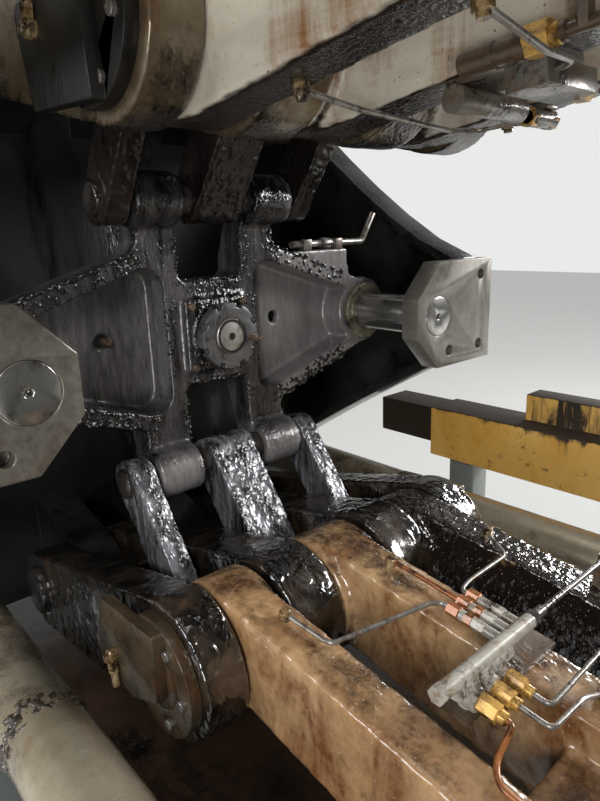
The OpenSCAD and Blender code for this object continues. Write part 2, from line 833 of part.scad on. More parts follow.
// A small pipe fitting that stands on a face, at p
module end_fitting(p, w = 16, h = 11) {
  translate([p[0] - w / 2, p[1] - w / 2, p[2]]) cube([w, w, h]);
}

// Along a front link: X from its knee, Y across, Z up from its inner edge
module on_inner_edge(side) {
  half_at(side) translate([knee[0], 0, knee[1]]) rotate([0, -front_angle, 0])
    translate([0, 0, -beam_edges[0]]) mirror([0, 0, 1]) children();
}

// Oil distributor on the lower front link: block, valves, feed tube and outlet nuts
module lower_oil_distributor() {
  color([0.72, 0.72, 0.68]) machine() on_inner_edge(-1) {
    // bracket, seated on the middle beam
    translate([312, -148, 0]) cube([42, 190, 10]);
    translate([326, -145, 10]) cube([28, 96, 28]);
    // feed tube with its coupling and the clamp on the right beam
    translate([331, -182, 47]) rotate([-90, 0, 0]) cylinder(r = 9, h = 184);
    translate([331, 2, 47]) rotate([-90, 0, 0]) cylinder(r = 12, h = 24);
    translate([331, 26, 47]) rotate([-90, 0, 0]) cylinder(r = 5, h = 200);
    translate([321, 203, 0]) cube([20, 18, 56]);
    // three check valves
    for (y = [-13, 9, 31]) {
      translate([236, y, 9]) rotate([0, 90, 0]) cylinder(r = 9, h = 22, $fn = 6);
      translate([258, y, 9]) rotate([0, 90, 0]) cylinder(r = 7, h = 54);
    }
    // outlet nuts
    for (i = [0:2])
      translate([354, -130 + 27 * i, 23]) rotate([0, 90, 0]) cylinder(r = 10, h = 22, $fn = 6);
  }
}

module lower_oil_pipes() {
  color([0.62, 0.42, 0.26]) machine() on_inner_edge(-1) {
    end_fitting([113, 9, 0]);
    pipe([[120, 9, 7], [160, 9, 9], [235.7, 9, 9]]);
    end_fitting([105, -191, 0]);
    pipe([[112, -190, 6], [179, -183, 6], [210, -26, 9], [220, -13, 9], [235.7, -13, 9]]);
    end_fitting([158, 196, 0]);
    pipe([[162, 189, 6], [214, 152, 12], [215, 54, 11], [219, 31, 9], [235.7, 31, 9]]);
    // outlets to the right, middle and left beam
    pipe([[376.3, -76, 23], [404, -76, 23], [402, 46, 24], [396, 186, 16]]);
    end_fitting([396, 194, 0], 18, 22);
    pipe([[376.3, -103, 23], [420, -103, 23], [421, -34, 20], [427, 0, 9]]);
    end_fitting([431, 8, 0]);
    pipe([[376.3, -130, 23], [392, -130, 23], [398, -168, 9], [412, -186, 4.2],
      [520, -190, 4.2]]);
    end_fitting([528, -190, 0]);
  }
}

// Oil distributor under the upper front link
module upper_oil_distributor() {
  color([0.6, 0.58, 0.5]) machine() on_inner_edge(1) {
    translate([222, -36, 0]) cube([112, 72, 8]);
    translate([236, -46, 22]) rotate([-90, 0, 0]) cylinder(r = 14, h = 128);
    translate([286, -30, 8]) cube([44, 104, 24]);
    translate([306, 74, 20]) rotate([-90, 0, 0]) cylinder(r = 13, h = 24, $fn = 6);
    // union on the right beam
    translate([206, 166, 0]) cube([22, 30, 8]);
    translate([217, 140, 19]) rotate([-90, 0, 0]) cylinder(r = 11, h = 56);
  }
}

module upper_oil_pipes() {
  color([0.55, 0.50, 0.42]) machine() on_inner_edge(1) {
    end_fitting([160, -185, 0]);
    pipe([[160, -177, 6], [150, -91, 12], [132, 94, 16], [150, 130, 18], [206, 150, 19]]);
    end_fitting([150, 206, 0]);
    pipe([[158, 206, 6], [190, 212, 12], [217, 206, 19], [217, 196, 19]]);
    pipe([[330, -14, 20], [350, -20, 20], [352, -76, 20], [360, -174, 8]]);
    end_fitting([360, -182, 0]);
    pipe([[306, 98, 20], [306, 120, 20], [330, 150, 14], [340, 182, 8]]);
    end_fitting([342, 190, 0]);
  }
}

// Oil nipple and elbow, clipped on the crosshead's pad
module wing_oil_fitting() {
  x = cross_front - 12;
  z = pad_z + 12;
  g = guide_half;
  color([0.6, 0.58, 0.52]) machine() {
    pipe([[x, g - 200, z], [x, g + 4, z], [x, g + 40, z + 58]], 7);
    for (y = [g - 172, g - 84])
      translate([x - 10, y, pad_z]) cube([20, 20, 21]);
    translate([x, g - 118, z]) rotate([-90, 0, 0]) cylinder(r = 11, h = 22);
  }
}

module moving_platen() {
  color([0.33, 0.36, 0.36]) machine() difference() {
    union() {
      along(moving_x, moving_x + moving_t)
        platen_outline(platen_half_w, platen_half_h, platen_chamfer);
      for (s = [-1, 1])
        translate([moving_x, s * (platen_half_w - 110) - 80, bed_top + 0.3])
          cube([moving_t, 160, 60]);
      for (side = [-1, 1]) half_at(side) both_sides() {
        lug(front_pin, main_eye_r, moving_x, plate_in_y[0], plate_in_y[1], 40);
        lug(front_pin, main_eye_r, moving_x, plate_out_y[0], plate_out_y[1], 40);
      }
    }
    for (sy = [-1, 1], sz = [-1, 1])
      long_bar(sy * tie_half_y, sz * tie_half_z, tie_r + pin_fit, moving_x - 1,
        moving_x + moving_t + 1);
    for (side = [-1, 1])
      cross_bar([front_pin[0], side * front_pin[1]], pin_r, -beyond, beyond);
    t_slots(moving_x + moving_t, 0);
  }
}

module front_main_pins() {
  color([0.5, 0.5, 0.5]) machine()
    for (side = [-1, 1])
      cross_bar([front_pin[0], side * front_pin[1]], pin_r, -plate_out_y[1] - 12,
        plate_out_y[1] + 12);
}

base_frame();
oil_tray();
levelling_feet();
rear_platen();
left_side_arm();
right_side_arm();
left_end_block();
right_end_block();
left_guide_rod();
right_guide_rod();
clamp_cylinder();
rear_main_pins();
upper_tie_bars();
lower_tie_bars();
tie_bar_nuts();
fixed_platen();
side_rail();
rail_brackets();
crosshead();
guide_bushings();
piston_rod();
piston_nut();
crosshead_pins();
upper_wide_link();
upper_narrow_links();
lower_wide_link();
lower_narrow_links();
upper_rear_link();
lower_rear_link();
upper_knee_pin();
lower_knee_pin();
upper_small_pin();
lower_small_pin();
upper_pin_covers();
lower_pin_covers();
upper_front_link();
lower_front_link();
lower_oil_distributor();
lower_oil_pipes();
upper_oil_distributor();
upper_oil_pipes();
wing_oil_fitting();
moving_platen();
front_main_pins();
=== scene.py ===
"""Looks of a die casting machine's clamp unit: greasy castings, worn paint and oil pipes."""

import logging
import math
import random
from collections.abc import Callable
from dataclasses import dataclass, field
from enum import Enum

import bmesh
import bpy
from mathutils import Matrix, Vector, noise


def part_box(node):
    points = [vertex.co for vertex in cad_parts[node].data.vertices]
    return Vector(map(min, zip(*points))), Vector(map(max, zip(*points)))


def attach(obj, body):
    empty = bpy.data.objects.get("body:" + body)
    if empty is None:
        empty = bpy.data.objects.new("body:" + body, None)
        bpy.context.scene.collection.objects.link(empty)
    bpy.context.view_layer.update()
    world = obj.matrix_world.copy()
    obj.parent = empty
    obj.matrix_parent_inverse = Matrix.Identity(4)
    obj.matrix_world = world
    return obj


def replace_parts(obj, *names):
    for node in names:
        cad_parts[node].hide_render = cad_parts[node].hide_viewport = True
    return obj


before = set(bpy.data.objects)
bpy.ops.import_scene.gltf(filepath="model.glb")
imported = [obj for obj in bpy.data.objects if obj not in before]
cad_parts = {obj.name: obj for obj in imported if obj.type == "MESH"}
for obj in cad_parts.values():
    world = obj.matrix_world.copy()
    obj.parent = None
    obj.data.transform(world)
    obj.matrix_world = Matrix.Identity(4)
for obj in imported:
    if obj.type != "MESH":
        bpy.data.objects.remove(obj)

log = logging.getLogger("clamp_unit")

RGB = tuple[float, float, float]
Point = tuple[float, float, float]
Span = tuple[float, float]
Socket = bpy.types.NodeSocket
Shape = bmesh.types.BMesh
Piece = bpy.types.Object

MM = 0.001
SHIFT = Vector((-0.250, -0.062, 1.000))
FORWARD = Vector((1, 0, 0))
UP = Vector((0, 0, 1))


def at(x: float, y: float, z: float) -> Vector:
    """Turns a point of the machine's own frame, in millimetres, into the row frame.

    Args:
        x: forward from the end blocks' front face.
        y: across from the centre plane.
        z: up from the guide rods' centre line.

    Returns:
        The point in metres.
    """
    return Vector((x * MM, y * MM, z * MM)) + SHIFT


class Body(Enum):
    """The bodies that pieces ride on."""

    FRAME = "frame"
    CROSSHEAD = "crosshead_unit"
    UPPER_SMALL = "upper_small_links"
    LOWER_SMALL = "lower_small_links"
    UPPER_REAR = "upper_rear_link_unit"
    LOWER_REAR = "lower_rear_link_unit"
    UPPER_FRONT = "upper_front_link_unit"
    LOWER_FRONT = "lower_front_link_unit"
    PLATEN = "moving_platen_unit"


class Pattern(Enum):
    """How a finish's fine relief runs: its scale along X, Y and Z."""

    LUMPS = (1.0, 1.0, 1.0)
    STREAKS_DOWN = (1.0, 1.0, 0.22)
    ROLLED_X = (0.15, 1.0, 1.0)
    DRIPS = (1.0, 1.0, 0.13)


class NodeSheet:
    """A material's node tree, with short calls for the nodes that the finishes use."""

    def __init__(self, name: str) -> None:
        """Starts a material with its shader and object coordinates.

        Args:
            name: the material's name.
        """
        self.material = bpy.data.materials.new(name)
        self.material.use_nodes = True
        self.tree = self.material.node_tree
        self.shader = self.tree.nodes["Principled BSDF"]
        self.place = self.node("ShaderNodeTexCoord").outputs["Object"]

    def put(self, node: bpy.types.Node, inputs: dict[str | int, object]) -> None:
        """Sets or links a node's inputs.

        Args:
            node: the node.
            inputs: value, colour or socket for each input, by its name or number.
        """
        for key, value in inputs.items():
            slot = node.inputs[key]
            if isinstance(value, Socket):
                self.tree.links.new(value, slot)
            else:
                slot.default_value = (*value, 1.0) if slot.type == "RGBA" else value

    def node(self, kind: str, inputs: dict[str | int, object] | None = None) -> bpy.types.Node:
        """Adds a node of a kind, with its inputs."""
        node = self.tree.nodes.new(kind)
        self.put(node, inputs or {})
        return node

    def noise(self, scale: float, detail: float = 5.0, rough: float = 0.6,
              stretch: Point = (1.0, 1.0, 1.0), warp: float = 0.0) -> Socket:
        """A noise value over the surface.

        Args:
            scale: repeats per metre.
            detail: number of finer layers.
            rough: strength of the finer layers.
            stretch: scale along X, Y and Z.
            warp: distortion of the pattern.

        Returns:
            The value's socket.
        """
        place = self.node("ShaderNodeMapping", {"Vector": self.place, "Scale": stretch})
        return self.node("ShaderNodeTexNoise", {
            "Vector": place.outputs[0], "Scale": scale, "Detail": detail, "Roughness": rough,
            "Distortion": warp}).outputs[0]

    def spread(self, value: Socket, low: float, high: float) -> Socket:
        """Maps low to high of a value to 0 to 1, clamped."""
        return self.node("ShaderNodeMapRange", {
            "Value": value, "From Min": low, "From Max": high}).outputs[0]

    def between(self, share: Socket, low: float, high: float) -> Socket:
        """Maps 0 to 1 of a share to low to high, clamped."""
        return self.node("ShaderNodeMapRange", {
            "Value": share, "To Min": low, "To Max": high}).outputs[0]

    def blend(self, share: Socket | float, first: Socket | RGB, second: Socket | RGB) -> Socket:
        """Mixes two colours.

        Args:
            share: how much of the second shows.
            first: a colour or a socket.
            second: a colour or a socket.

        Returns:
            The mixed colour's socket.
        """
        node = self.node("ShaderNodeMix")
        node.data_type = "RGBA"
        self.put(node, {0: share, 6: first, 7: second})
        return node.outputs[2]

    def sums(self, kind: str, first: Socket | float, second: Socket | float) -> Socket:
        """Works out one value from two.

        Args:
            kind: Blender's name of the operation.
            first: a number or a socket.
            second: a number or a socket.

        Returns:
            The result's socket.
        """
        node = self.node("ShaderNodeMath")
        node.operation = kind
        self.put(node, {0: first, 1: second})
        return node.outputs[0]

    def plus(self, first: Socket, second: Socket | float) -> Socket:
        """The sum of two values."""
        return self.sums("ADD", first, second)

    def times(self, first: Socket, second: Socket | float) -> Socket:
        """The product of two values."""
        return self.sums("MULTIPLY", first, second)

    def swing(self, value: Socket, size: float) -> Socket:
        """A noise value taken from its middle and scaled, so that it adds and takes away."""
        return self.times(self.sums("SUBTRACT", value, 0.5), size)

    def axis(self, name: str) -> Socket:
        """One of the object coordinates, X, Y or Z."""
        return self.node("ShaderNodeSeparateXYZ", {0: self.place}).outputs[name]

    def facing(self, way: Point) -> Socket:
        """How far the surface faces along a direction.

        Args:
            way: the direction; its length is the value where the surface faces it.

        Returns:
            The value's socket.
        """
        side = self.node("ShaderNodeNewGeometry").outputs["Normal"]
        node = self.node("ShaderNodeVectorMath")
        node.operation = "DOT_PRODUCT"
        self.put(node, {0: side, 1: way})
        return node.outputs["Value"]

    def relief(self, height: Socket, depth_mm: float, under: Socket | None = None) -> Socket:
        """Adds a bump.

        Args:
            height: the relief's height.
            depth_mm: its depth in millimetres.
            under: another bump that it lies on.

        Returns:
            The normal's socket.
        """
        node = self.node("ShaderNodeBump", {"Height": height, "Distance": depth_mm * MM})
        if under is not None:
            self.put(node, {"Normal": under})
        return node.outputs[0]


@dataclass(frozen=True)
class Zone:
    """A change in a finish's level of oil or wear along one axis of the row frame; some zones
    paint light or a highlight.
    """

    axis: str
    start: float
    end: float
    more: float


@dataclass(frozen=True)
class Layers:
    """How every finish's layers lie: noise scales as multiples of its patch, and strengths."""

    mottle_scale: float = 13.0
    mottle_span: Span = (0.32, 0.68)
    mottle_share: float = 0.30
    mottle_dark: float = 0.62
    mottle_pale: float = 1.15
    rust_scale: float = 2.3
    rust_break: float = 0.4
    oil_scale: float = 1.7
    oil_break: float = 0.30
    oil_warp: float = 0.25
    thick_low: float = 0.04
    thick_high: float = 0.06
    thick_least: float = 0.12
    speck_scale: float = 60.0
    speck_span: Span = (0.70, 0.74)
    fine_share: float = 0.45
    swell_scale: float = 0.22
    warp: float = 0.3
    coat_rough: float = 0.07


@dataclass(frozen=True)
class Finish:
    """One surface finish: a main colour, a worn second colour, rust, and oil over them; some
    finishes also paint light, shade or highlights.
    """

    name: str
    main: RGB
    worn: RGB
    grime: RGB
    rust: RGB | None = None
    worn_range: Span = (0.40, 0.66)
    grime_range: Span = (0.50, 0.66)
    rust_range: Span = (0.52, 0.68)
    patch: float = 7.0
    metal: float = 0.0
    rough: Span = (0.42, 0.2)
    relief_mm: float = 0.4
    relief_scale: float = 120.0
    coat: float = 0.3
    pattern: Pattern = Pattern.LUMPS
    grease_mm: float = 0.0
    oil_side: Point = (0.0, 0.0, 0.0)
    zones: tuple[Zone, ...] = ()
    # Zones that lighten the worn share, for wear and, in some finishes, for painted light and
    # painted highlights.
    wear_and_light_zones: tuple[Zone, ...] = ()
    gloss: float = 0.3
    coat_ior: float = 1.38
    grease_scale: float = 150.0
    specks: RGB | None = None
    rust_stretch: Point = (1.0, 1.0, 0.45)
    lay: Layers = Layers()

    @staticmethod
    def zoned(sheet: NodeSheet, level: Socket, zones: tuple[Zone, ...]) -> Socket:
        """Adds each zone's share to a level.

        Args:
            sheet: the material's node tree.
            level: the level to change.
            zones: the zones.

        Returns:
            The new level's socket.
        """
        for zone in zones:
            share = sheet.spread(sheet.axis(zone.axis), zone.start, zone.end)
            level = sheet.plus(level, sheet.times(share, zone.more))
        return level

    def oil(self, sheet: NodeSheet, speckle: Socket) -> tuple[Socket, Socket]:
        """How much oil lies at each place.

        Args:
            sheet: the material's node tree.
            speckle: a fine noise that breaks up the oil's edges.

        Returns:
            The share's socket, from 0 to 1, and a smooth one for the oil's thickness.
        """
        lay, stretch = self.lay, self.pattern.value
        scale = self.patch * lay.oil_scale
        level = sheet.noise(scale, 9, 0.66, stretch, lay.oil_warp)
        thick = sheet.noise(scale, 2, 0.5, stretch, lay.oil_warp)
        level = sheet.plus(level, sheet.swing(speckle, lay.oil_break))
        if any(self.oil_side):
            level = sheet.plus(level, sheet.facing(self.oil_side))
            thick = sheet.plus(thick, sheet.facing(self.oil_side))
        low, high = self.grime_range
        return (sheet.spread(self.zoned(sheet, level, self.zones), low, high),
                sheet.spread(self.zoned(sheet, thick, self.zones), low - lay.thick_low,
                             high + lay.thick_high))

    def colours(self, sheet: NodeSheet, speckle: Socket, dirt: Socket) -> Socket:
        """Lays the colours over each other.

        Args:
            sheet: the material's node tree.
            speckle: a fine noise that mottles the colours.
            dirt: share of oil at each place.

        Returns:
            The colour's socket.
        """
        lay = self.lay
        wear_and_light_share = sheet.noise(self.patch, 9, 0.68, self.pattern.value, lay.warp)
        # The zones lighten the worn share: worn metal, and in some finishes painted light and
        # painted highlights.
        wear_and_light_share = sheet.spread(self.zoned(sheet, wear_and_light_share, self.wear_and_light_zones), *self.worn_range)
        shade = sheet.blend(sheet.spread(speckle, *lay.mottle_span),
                            tuple(c * lay.mottle_dark for c in self.main),
                            tuple(min(1.0, c * lay.mottle_pale) for c in self.worn))
        colour = sheet.blend(lay.mottle_share, sheet.blend(wear_and_light_share, self.main, self.worn), shade)
        if self.rust:
            stains = sheet.noise(self.patch * lay.rust_scale, 9, 0.72, self.rust_stretch, 0.4)
            stains = sheet.plus(stains, sheet.swing(speckle, lay.rust_break))
            colour = sheet.blend(sheet.spread(stains, *self.rust_range), colour, self.rust)
        colour = sheet.blend(dirt, colour, self.grime)
        if self.specks:
            dots = sheet.noise(self.patch * lay.speck_scale, 3, 0.5)
            colour = sheet.blend(sheet.spread(dots, *lay.speck_span), colour, self.specks)
        return colour

    def skin(self, sheet: NodeSheet, thick: Socket) -> Socket:
        """Makes the relief: fine noise on a swell, with beads of grease where oil is thick.

        Args:
            sheet: the material's node tree.
            thick: thickness of the oil at each place.

        Returns:
            The normal's socket.
        """
        lay, stretch = self.lay, self.pattern.value
        fine = sheet.noise(self.relief_scale, 6, 0.62, stretch, lay.warp)
        swell = sheet.noise(self.relief_scale * lay.swell_scale, 3, 0.5, stretch, lay.warp)
        skin = sheet.relief(sheet.plus(sheet.times(fine, lay.fine_share), swell), self.relief_mm)
        if self.grease_mm > 0:
            beads = sheet.times(sheet.plus(thick, lay.thick_least),
                                sheet.noise(self.grease_scale, 2, 0.5, (1.0, 1.0, 0.55), 0.6))
            skin = sheet.relief(beads, self.grease_mm, skin)
        return skin

    def material(self) -> bpy.types.Material:
        """Builds the finish's material once and returns it."""
        known = bpy.data.materials.get(self.name)
        if known:
            return known
        sheet = NodeSheet(self.name)
        speckle = sheet.noise(self.patch * self.lay.mottle_scale, 5, 0.72, self.pattern.value)
        dirt, thick = self.oil(sheet, speckle)
        skin = self.skin(sheet, thick)
        sheet.put(sheet.shader, {
            "Base Color": self.colours(sheet, speckle, dirt), "Metallic": self.metal,
            "Roughness": sheet.between(dirt, *self.rough), "Specular IOR Level": self.gloss,
            "Coat Weight": self.coat, "Coat IOR": self.coat_ior,
            "Coat Roughness": self.lay.coat_rough, "Normal": skin, "Coat Normal": skin})
        return sheet.material


# Crosshead casting. Its +Y zones make the right pocket lighter and less oily, partly satin wear
# and partly painted light; its low Z zones make the lower bosses paler and less oily, a painted
# highlight over worn metal.
CASTING = Finish(
    "greasy_casting", (0.012, 0.01, 0.011), (0.2, 0.188, 0.184), (0.0035, 0.003, 0.003),
    worn_range=(0.47, 0.9), grime_range=(0.42, 0.59), patch=9.0, metal=0.2, rough=(0.36, 0.12),
    relief_mm=1.0, relief_scale=90.0, coat=0.7, pattern=Pattern.STREAKS_DOWN, grease_mm=3.4,
    zones=(Zone("X", -0.492, -0.506, -0.14), Zone("X", -0.444, -0.44, 0.03),
    Zone("Y", 0.08, 0.1, -0.12), Zone("Z", 0.82, 0.79, -0.16)),
    wear_and_light_zones=(Zone("Y", 0.08, 0.1, 0.42), Zone("Z", 0.82, 0.79, 0.36)), coat_ior=1.42)
HUB_NUT = Finish(
    "hub_nut", (0.06, 0.058, 0.058), (0.12, 0.115, 0.112), (0.012, 0.01, 0.009), patch=14.0,
    metal=0.4, rough=(0.38, 0.18), relief_mm=0.3, coat=0.5, grease_mm=1.2)
LINK_GREASE = Finish(
    "greasy_link", (0.04, 0.04, 0.046), (0.34, 0.34, 0.36), (0.007, 0.006, 0.006),
    worn_range=(0.44, 0.66), grime_range=(0.44, 0.64), patch=30.0, metal=0.3, rough=(0.28, 0.14),
    relief_mm=1.4, relief_scale=110.0, coat=0.8, pattern=Pattern.DRIPS, grease_mm=5.0,
    coat_ior=1.45, grease_scale=110.0)
LINK_DARK = Finish(
    "dark_link", (0.005, 0.004, 0.0038), (0.03, 0.02, 0.016), (0.003, 0.0025, 0.0025),
    worn_range=(0.48, 0.7), patch=16.0, rough=(0.34, 0.14), relief_mm=1.0, relief_scale=80.0,
    coat=0.5, pattern=Pattern.STREAKS_DOWN, grease_mm=3.5, gloss=0.25, grease_scale=80.0)
REAR_LINK = Finish(
    "oily_rear_link", (0.019, 0.015, 0.011), (0.06, 0.038, 0.023), (0.005, 0.0042, 0.004),
    (0.15, 0.07, 0.03), grime_range=(0.38, 0.56), rust_range=(0.58, 0.72), metal=0.1,
    rough=(0.28, 0.1), relief_mm=0.5, relief_scale=60.0, coat=1.0, grease_mm=6.0, coat_ior=1.7,
    grease_scale=42.0)
RUSTY_BEAM = Finish(
    "rusty_oiled_beam", (0.27, 0.142, 0.06), (0.53, 0.35, 0.18), (0.012, 0.008, 0.006),
    (0.135, 0.052, 0.017), worn_range=(0.38, 0.62), grime_range=(0.47, 0.69),
    rust_range=(0.43, 0.66), patch=5.5, rough=(0.36, 0.12), relief_mm=0.5, relief_scale=60.0,
    coat=0.9, grease_mm=3.2, oil_side=(0.0, 0.18, 0.0), zones=(Zone("Y", 0.02, 0.07, 0.46),
    Zone("X", 0.02, -0.16, 0.08), Zone("Z", 0.66, 0.58, 0.12)), coat_ior=1.5, grease_scale=80.0,
    specks=(0.6, 0.5, 0.38))
PALE_BEAM = Finish(
    "pale_beam_paint", (0.44, 0.395, 0.32), (0.62, 0.575, 0.48), (0.018, 0.012, 0.009),
    (0.225, 0.105, 0.038), worn_range=(0.38, 0.62), grime_range=(0.52, 0.64),
    rust_range=(0.48, 0.66), patch=3.6, rough=(0.4, 0.14), relief_mm=0.25, relief_scale=40.0,
    coat=0.5, pattern=Pattern.ROLLED_X, grease_mm=1.4, oil_side=(0.0, 0.06, -0.28),
    specks=(0.1, 0.06, 0.03), rust_stretch=(1.0, 1.0, 0.16))
KNEE_GOLD = Finish(
    "stained_knee", (0.085, 0.058, 0.031), (0.22, 0.175, 0.112), (0.011, 0.008, 0.006),
    (0.12, 0.05, 0.02), grime_range=(0.53, 0.68), rust_range=(0.56, 0.7), patch=5.5, metal=0.5,
    rough=(0.28, 0.14), relief_mm=0.3, relief_scale=30.0, coat=0.7, grease_mm=2.0,
    oil_side=(0.0, 0.0, -0.16))
# Upper knee pin and pin covers: a near-black colour that paints the shade they lie in; the lower
# ones, in light, are brown.
COVER_PAINTED_SHADE = Finish(
    "cover_painted_shade", (0.005, 0.0045, 0.004), (0.016, 0.013, 0.01), (0.003, 0.0028, 0.0025),
    patch=5.0, rough=(0.45, 0.18), relief_mm=0.5, relief_scale=60.0, coat=0.15, grease_mm=1.6)
COVER_BROWN = Finish(
    "brown_cover", (0.048, 0.034, 0.02), (0.09, 0.066, 0.04), (0.01, 0.008, 0.006),
    (0.085, 0.04, 0.017), grime_range=(0.5, 0.7), patch=5.0, metal=0.25, rough=(0.32, 0.14),
    relief_mm=0.5, relief_scale=40.0, coat=0.7, grease_mm=1.8)
# End blocks. The Y zone makes the right block paler towards +Y: painted light.
MILLED = Finish(
    "milled_plate", (0.08, 0.07, 0.056), (0.23, 0.215, 0.185), (0.03, 0.024, 0.018),
    worn_range=(0.46, 0.8), grime_range=(0.56, 0.76), patch=6.0, metal=0.45, rough=(0.38, 0.22),
    relief_mm=0.16, relief_scale=240.0, pattern=Pattern.ROLLED_X,
    wear_and_light_zones=(Zone("Y", -0.3, 0.3, 0.22),))
GROUND = Finish(
    "ground_steel", (0.27, 0.262, 0.245), (0.38, 0.37, 0.35), (0.05, 0.034, 0.022),
    grime_range=(0.52, 0.66), patch=5.0, metal=0.9, rough=(0.22, 0.13), relief_mm=0.06,
    relief_scale=50.0, coat=0.4, grease_mm=0.8)
STAINED_BAR = Finish(
    "stained_tie_bar", (0.42, 0.345, 0.23), (0.6, 0.54, 0.42), (0.065, 0.04, 0.02),
    (0.2, 0.11, 0.045), grime_range=(0.5, 0.68), rust_range=(0.54, 0.74), patch=3.2, metal=0.6,
    rough=(0.32, 0.18), relief_mm=0.15, relief_scale=30.0, coat=0.6, grease_mm=1.0, coat_ior=1.5)
PIN_FACE = Finish(
    "pin_face", (0.24, 0.225, 0.195), (0.34, 0.325, 0.295), (0.045, 0.034, 0.026),
    grime_range=(0.54, 0.7), patch=9.0, metal=0.65, rough=(0.34, 0.2), relief_mm=0.3,
    relief_scale=70.0, coat=0.35)
PIN_DARK = Finish(
    "dark_pin_end", (0.026, 0.022, 0.02), (0.07, 0.062, 0.055), (0.007, 0.006, 0.005), patch=9.0,
    metal=0.3, rough=(0.32, 0.14), relief_mm=0.5, relief_scale=80.0, coat=0.8, grease_mm=1.6)
BAR_GREASE = Finish(
    "bar_grease", (0.03, 0.025, 0.02), (0.075, 0.06, 0.045), (0.01, 0.009, 0.008), patch=30.0,
    rough=(0.34, 0.16), relief_mm=1.0, relief_scale=200.0, coat=0.8)
FRAME_PAINT = Finish(
    "frame_paint", (0.07, 0.085, 0.08), (0.12, 0.135, 0.125), (0.016, 0.014, 0.012),
    (0.13, 0.06, 0.028), rust_range=(0.64, 0.74), patch=4.0, rough=(0.42, 0.22), relief_mm=0.35,
    relief_scale=50.0)
# Rear platen: a near-black colour that paints the shade in the machine's depths, with oil streaks.
PLATEN_OIL_AND_SHADE = Finish(
    "oil_and_shade_platen", (0.0045, 0.0055, 0.005), (0.014, 0.016, 0.0145), (0.003, 0.0028, 0.0025),
    patch=4.0, rough=(0.55, 0.2), relief_mm=0.6, relief_scale=45.0, coat=0.12,
    pattern=Pattern.STREAKS_DOWN, grease_mm=1.2)
ARM_GREY = Finish(
    "arm_grey", (0.02, 0.02, 0.019), (0.048, 0.048, 0.045), (0.007, 0.0065, 0.006),
    grime_range=(0.46, 0.64), patch=5.0, metal=0.25, rough=(0.4, 0.18), relief_scale=55.0,
    coat=0.4, grease_mm=1.2)
MOVING_PAINT = Finish(
    "platen_paint", (0.15, 0.18, 0.17), (0.23, 0.255, 0.24), (0.028, 0.024, 0.02),
    (0.18, 0.085, 0.04), grime_range=(0.54, 0.7), rust_range=(0.64, 0.74), patch=3.5,
    rough=(0.45, 0.25), relief_mm=0.3, relief_scale=40.0)
RUST_OIL = Finish(
    "rusty_oily_steel", (0.06, 0.042, 0.028), (0.12, 0.08, 0.05), (0.012, 0.01, 0.008),
    (0.17, 0.075, 0.03), patch=10.0, metal=0.25, rough=(0.36, 0.14), relief_mm=0.8,
    relief_scale=110.0, coat=0.7, grease_mm=2.0)
BLACK_GREASE = Finish(
    "black_grease", (0.009, 0.008, 0.008), (0.02, 0.018, 0.017), (0.005, 0.005, 0.005),
    patch=20.0, rough=(0.2, 0.1), relief_mm=0.8, relief_scale=190.0, coat=0.6, grease_mm=1.5)
BRASS = Finish(
    "brass_nut", (0.5, 0.27, 0.055), (0.62, 0.39, 0.11), (0.1, 0.05, 0.016),
    grime_range=(0.44, 0.62), patch=30.0, metal=0.4, rough=(0.34, 0.24), relief_mm=0.15,
    relief_scale=200.0)
DIRTY_BRASS = Finish(
    "dirty_brass", (0.27, 0.155, 0.05), (0.46, 0.36, 0.21), (0.03, 0.018, 0.01),
    worn_range=(0.44, 0.66), grime_range=(0.42, 0.58), patch=26.0, metal=0.35, rough=(0.34, 0.2),
    relief_mm=0.3, relief_scale=160.0, coat=0.6, grease_mm=1.2)
COPPER = Finish(
    "copper_tube", (0.26, 0.082, 0.022), (0.36, 0.14, 0.045), (0.045, 0.018, 0.008),
    grime_range=(0.48, 0.64), patch=26.0, metal=0.3, rough=(0.34, 0.2), relief_mm=0.15,
    relief_scale=160.0, coat=0.5)
GREY_PIPE = Finish(
    "grey_pipe", (0.17, 0.155, 0.135), (0.28, 0.265, 0.24), (0.035, 0.026, 0.019),
    (0.15, 0.08, 0.04), patch=24.0, metal=0.5, rough=(0.32, 0.17), relief_mm=0.2,
    relief_scale=160.0, coat=0.6)
ZINC = Finish(
    "cast_zinc", (0.27, 0.25, 0.212), (0.42, 0.395, 0.345), (0.04, 0.026, 0.016),
    (0.19, 0.1, 0.04), grime_range=(0.52, 0.64), rust_range=(0.54, 0.68), patch=18.0, metal=0.15,
    rough=(0.38, 0.2), relief_mm=0.2, coat=0.4, grease_mm=0.6)
DIRTY_ZINC = Finish(
    "dirty_zinc", (0.1, 0.088, 0.07), (0.2, 0.182, 0.152), (0.018, 0.014, 0.011),
    (0.16, 0.075, 0.03), patch=18.0, metal=0.3, rough=(0.34, 0.15), relief_mm=0.5, coat=0.7,
    grease_mm=1.6)
SEAL = Finish(
    "seal_ring", (0.12, 0.105, 0.06), (0.25, 0.23, 0.17), (0.018, 0.015, 0.012), patch=14.0,
    metal=0.4, rough=(0.32, 0.17), relief_mm=0.3, coat=0.5, grease_mm=1.2)
BOLT = Finish(
    "bolt_black", (0.055, 0.052, 0.05), (0.12, 0.115, 0.11), (0.012, 0.011, 0.01), patch=40.0,
    metal=0.6, rough=(0.34, 0.2), relief_mm=0.15, relief_scale=220.0, coat=0.4)
BOLT_BRIGHT = Finish(
    "bolt_bright", (0.17, 0.155, 0.14), (0.32, 0.31, 0.29), (0.03, 0.025, 0.02), patch=40.0,
    metal=0.7, rough=(0.3, 0.18), relief_mm=0.15, relief_scale=220.0, coat=0.5)
TRAY_OIL = Finish(
    "oil_pan", (0.018, 0.012, 0.009), (0.055, 0.032, 0.019), (0.005, 0.0045, 0.004), patch=3.0,
    rough=(0.25, 0.08), relief_scale=25.0, coat=0.9, grease_mm=1.6)


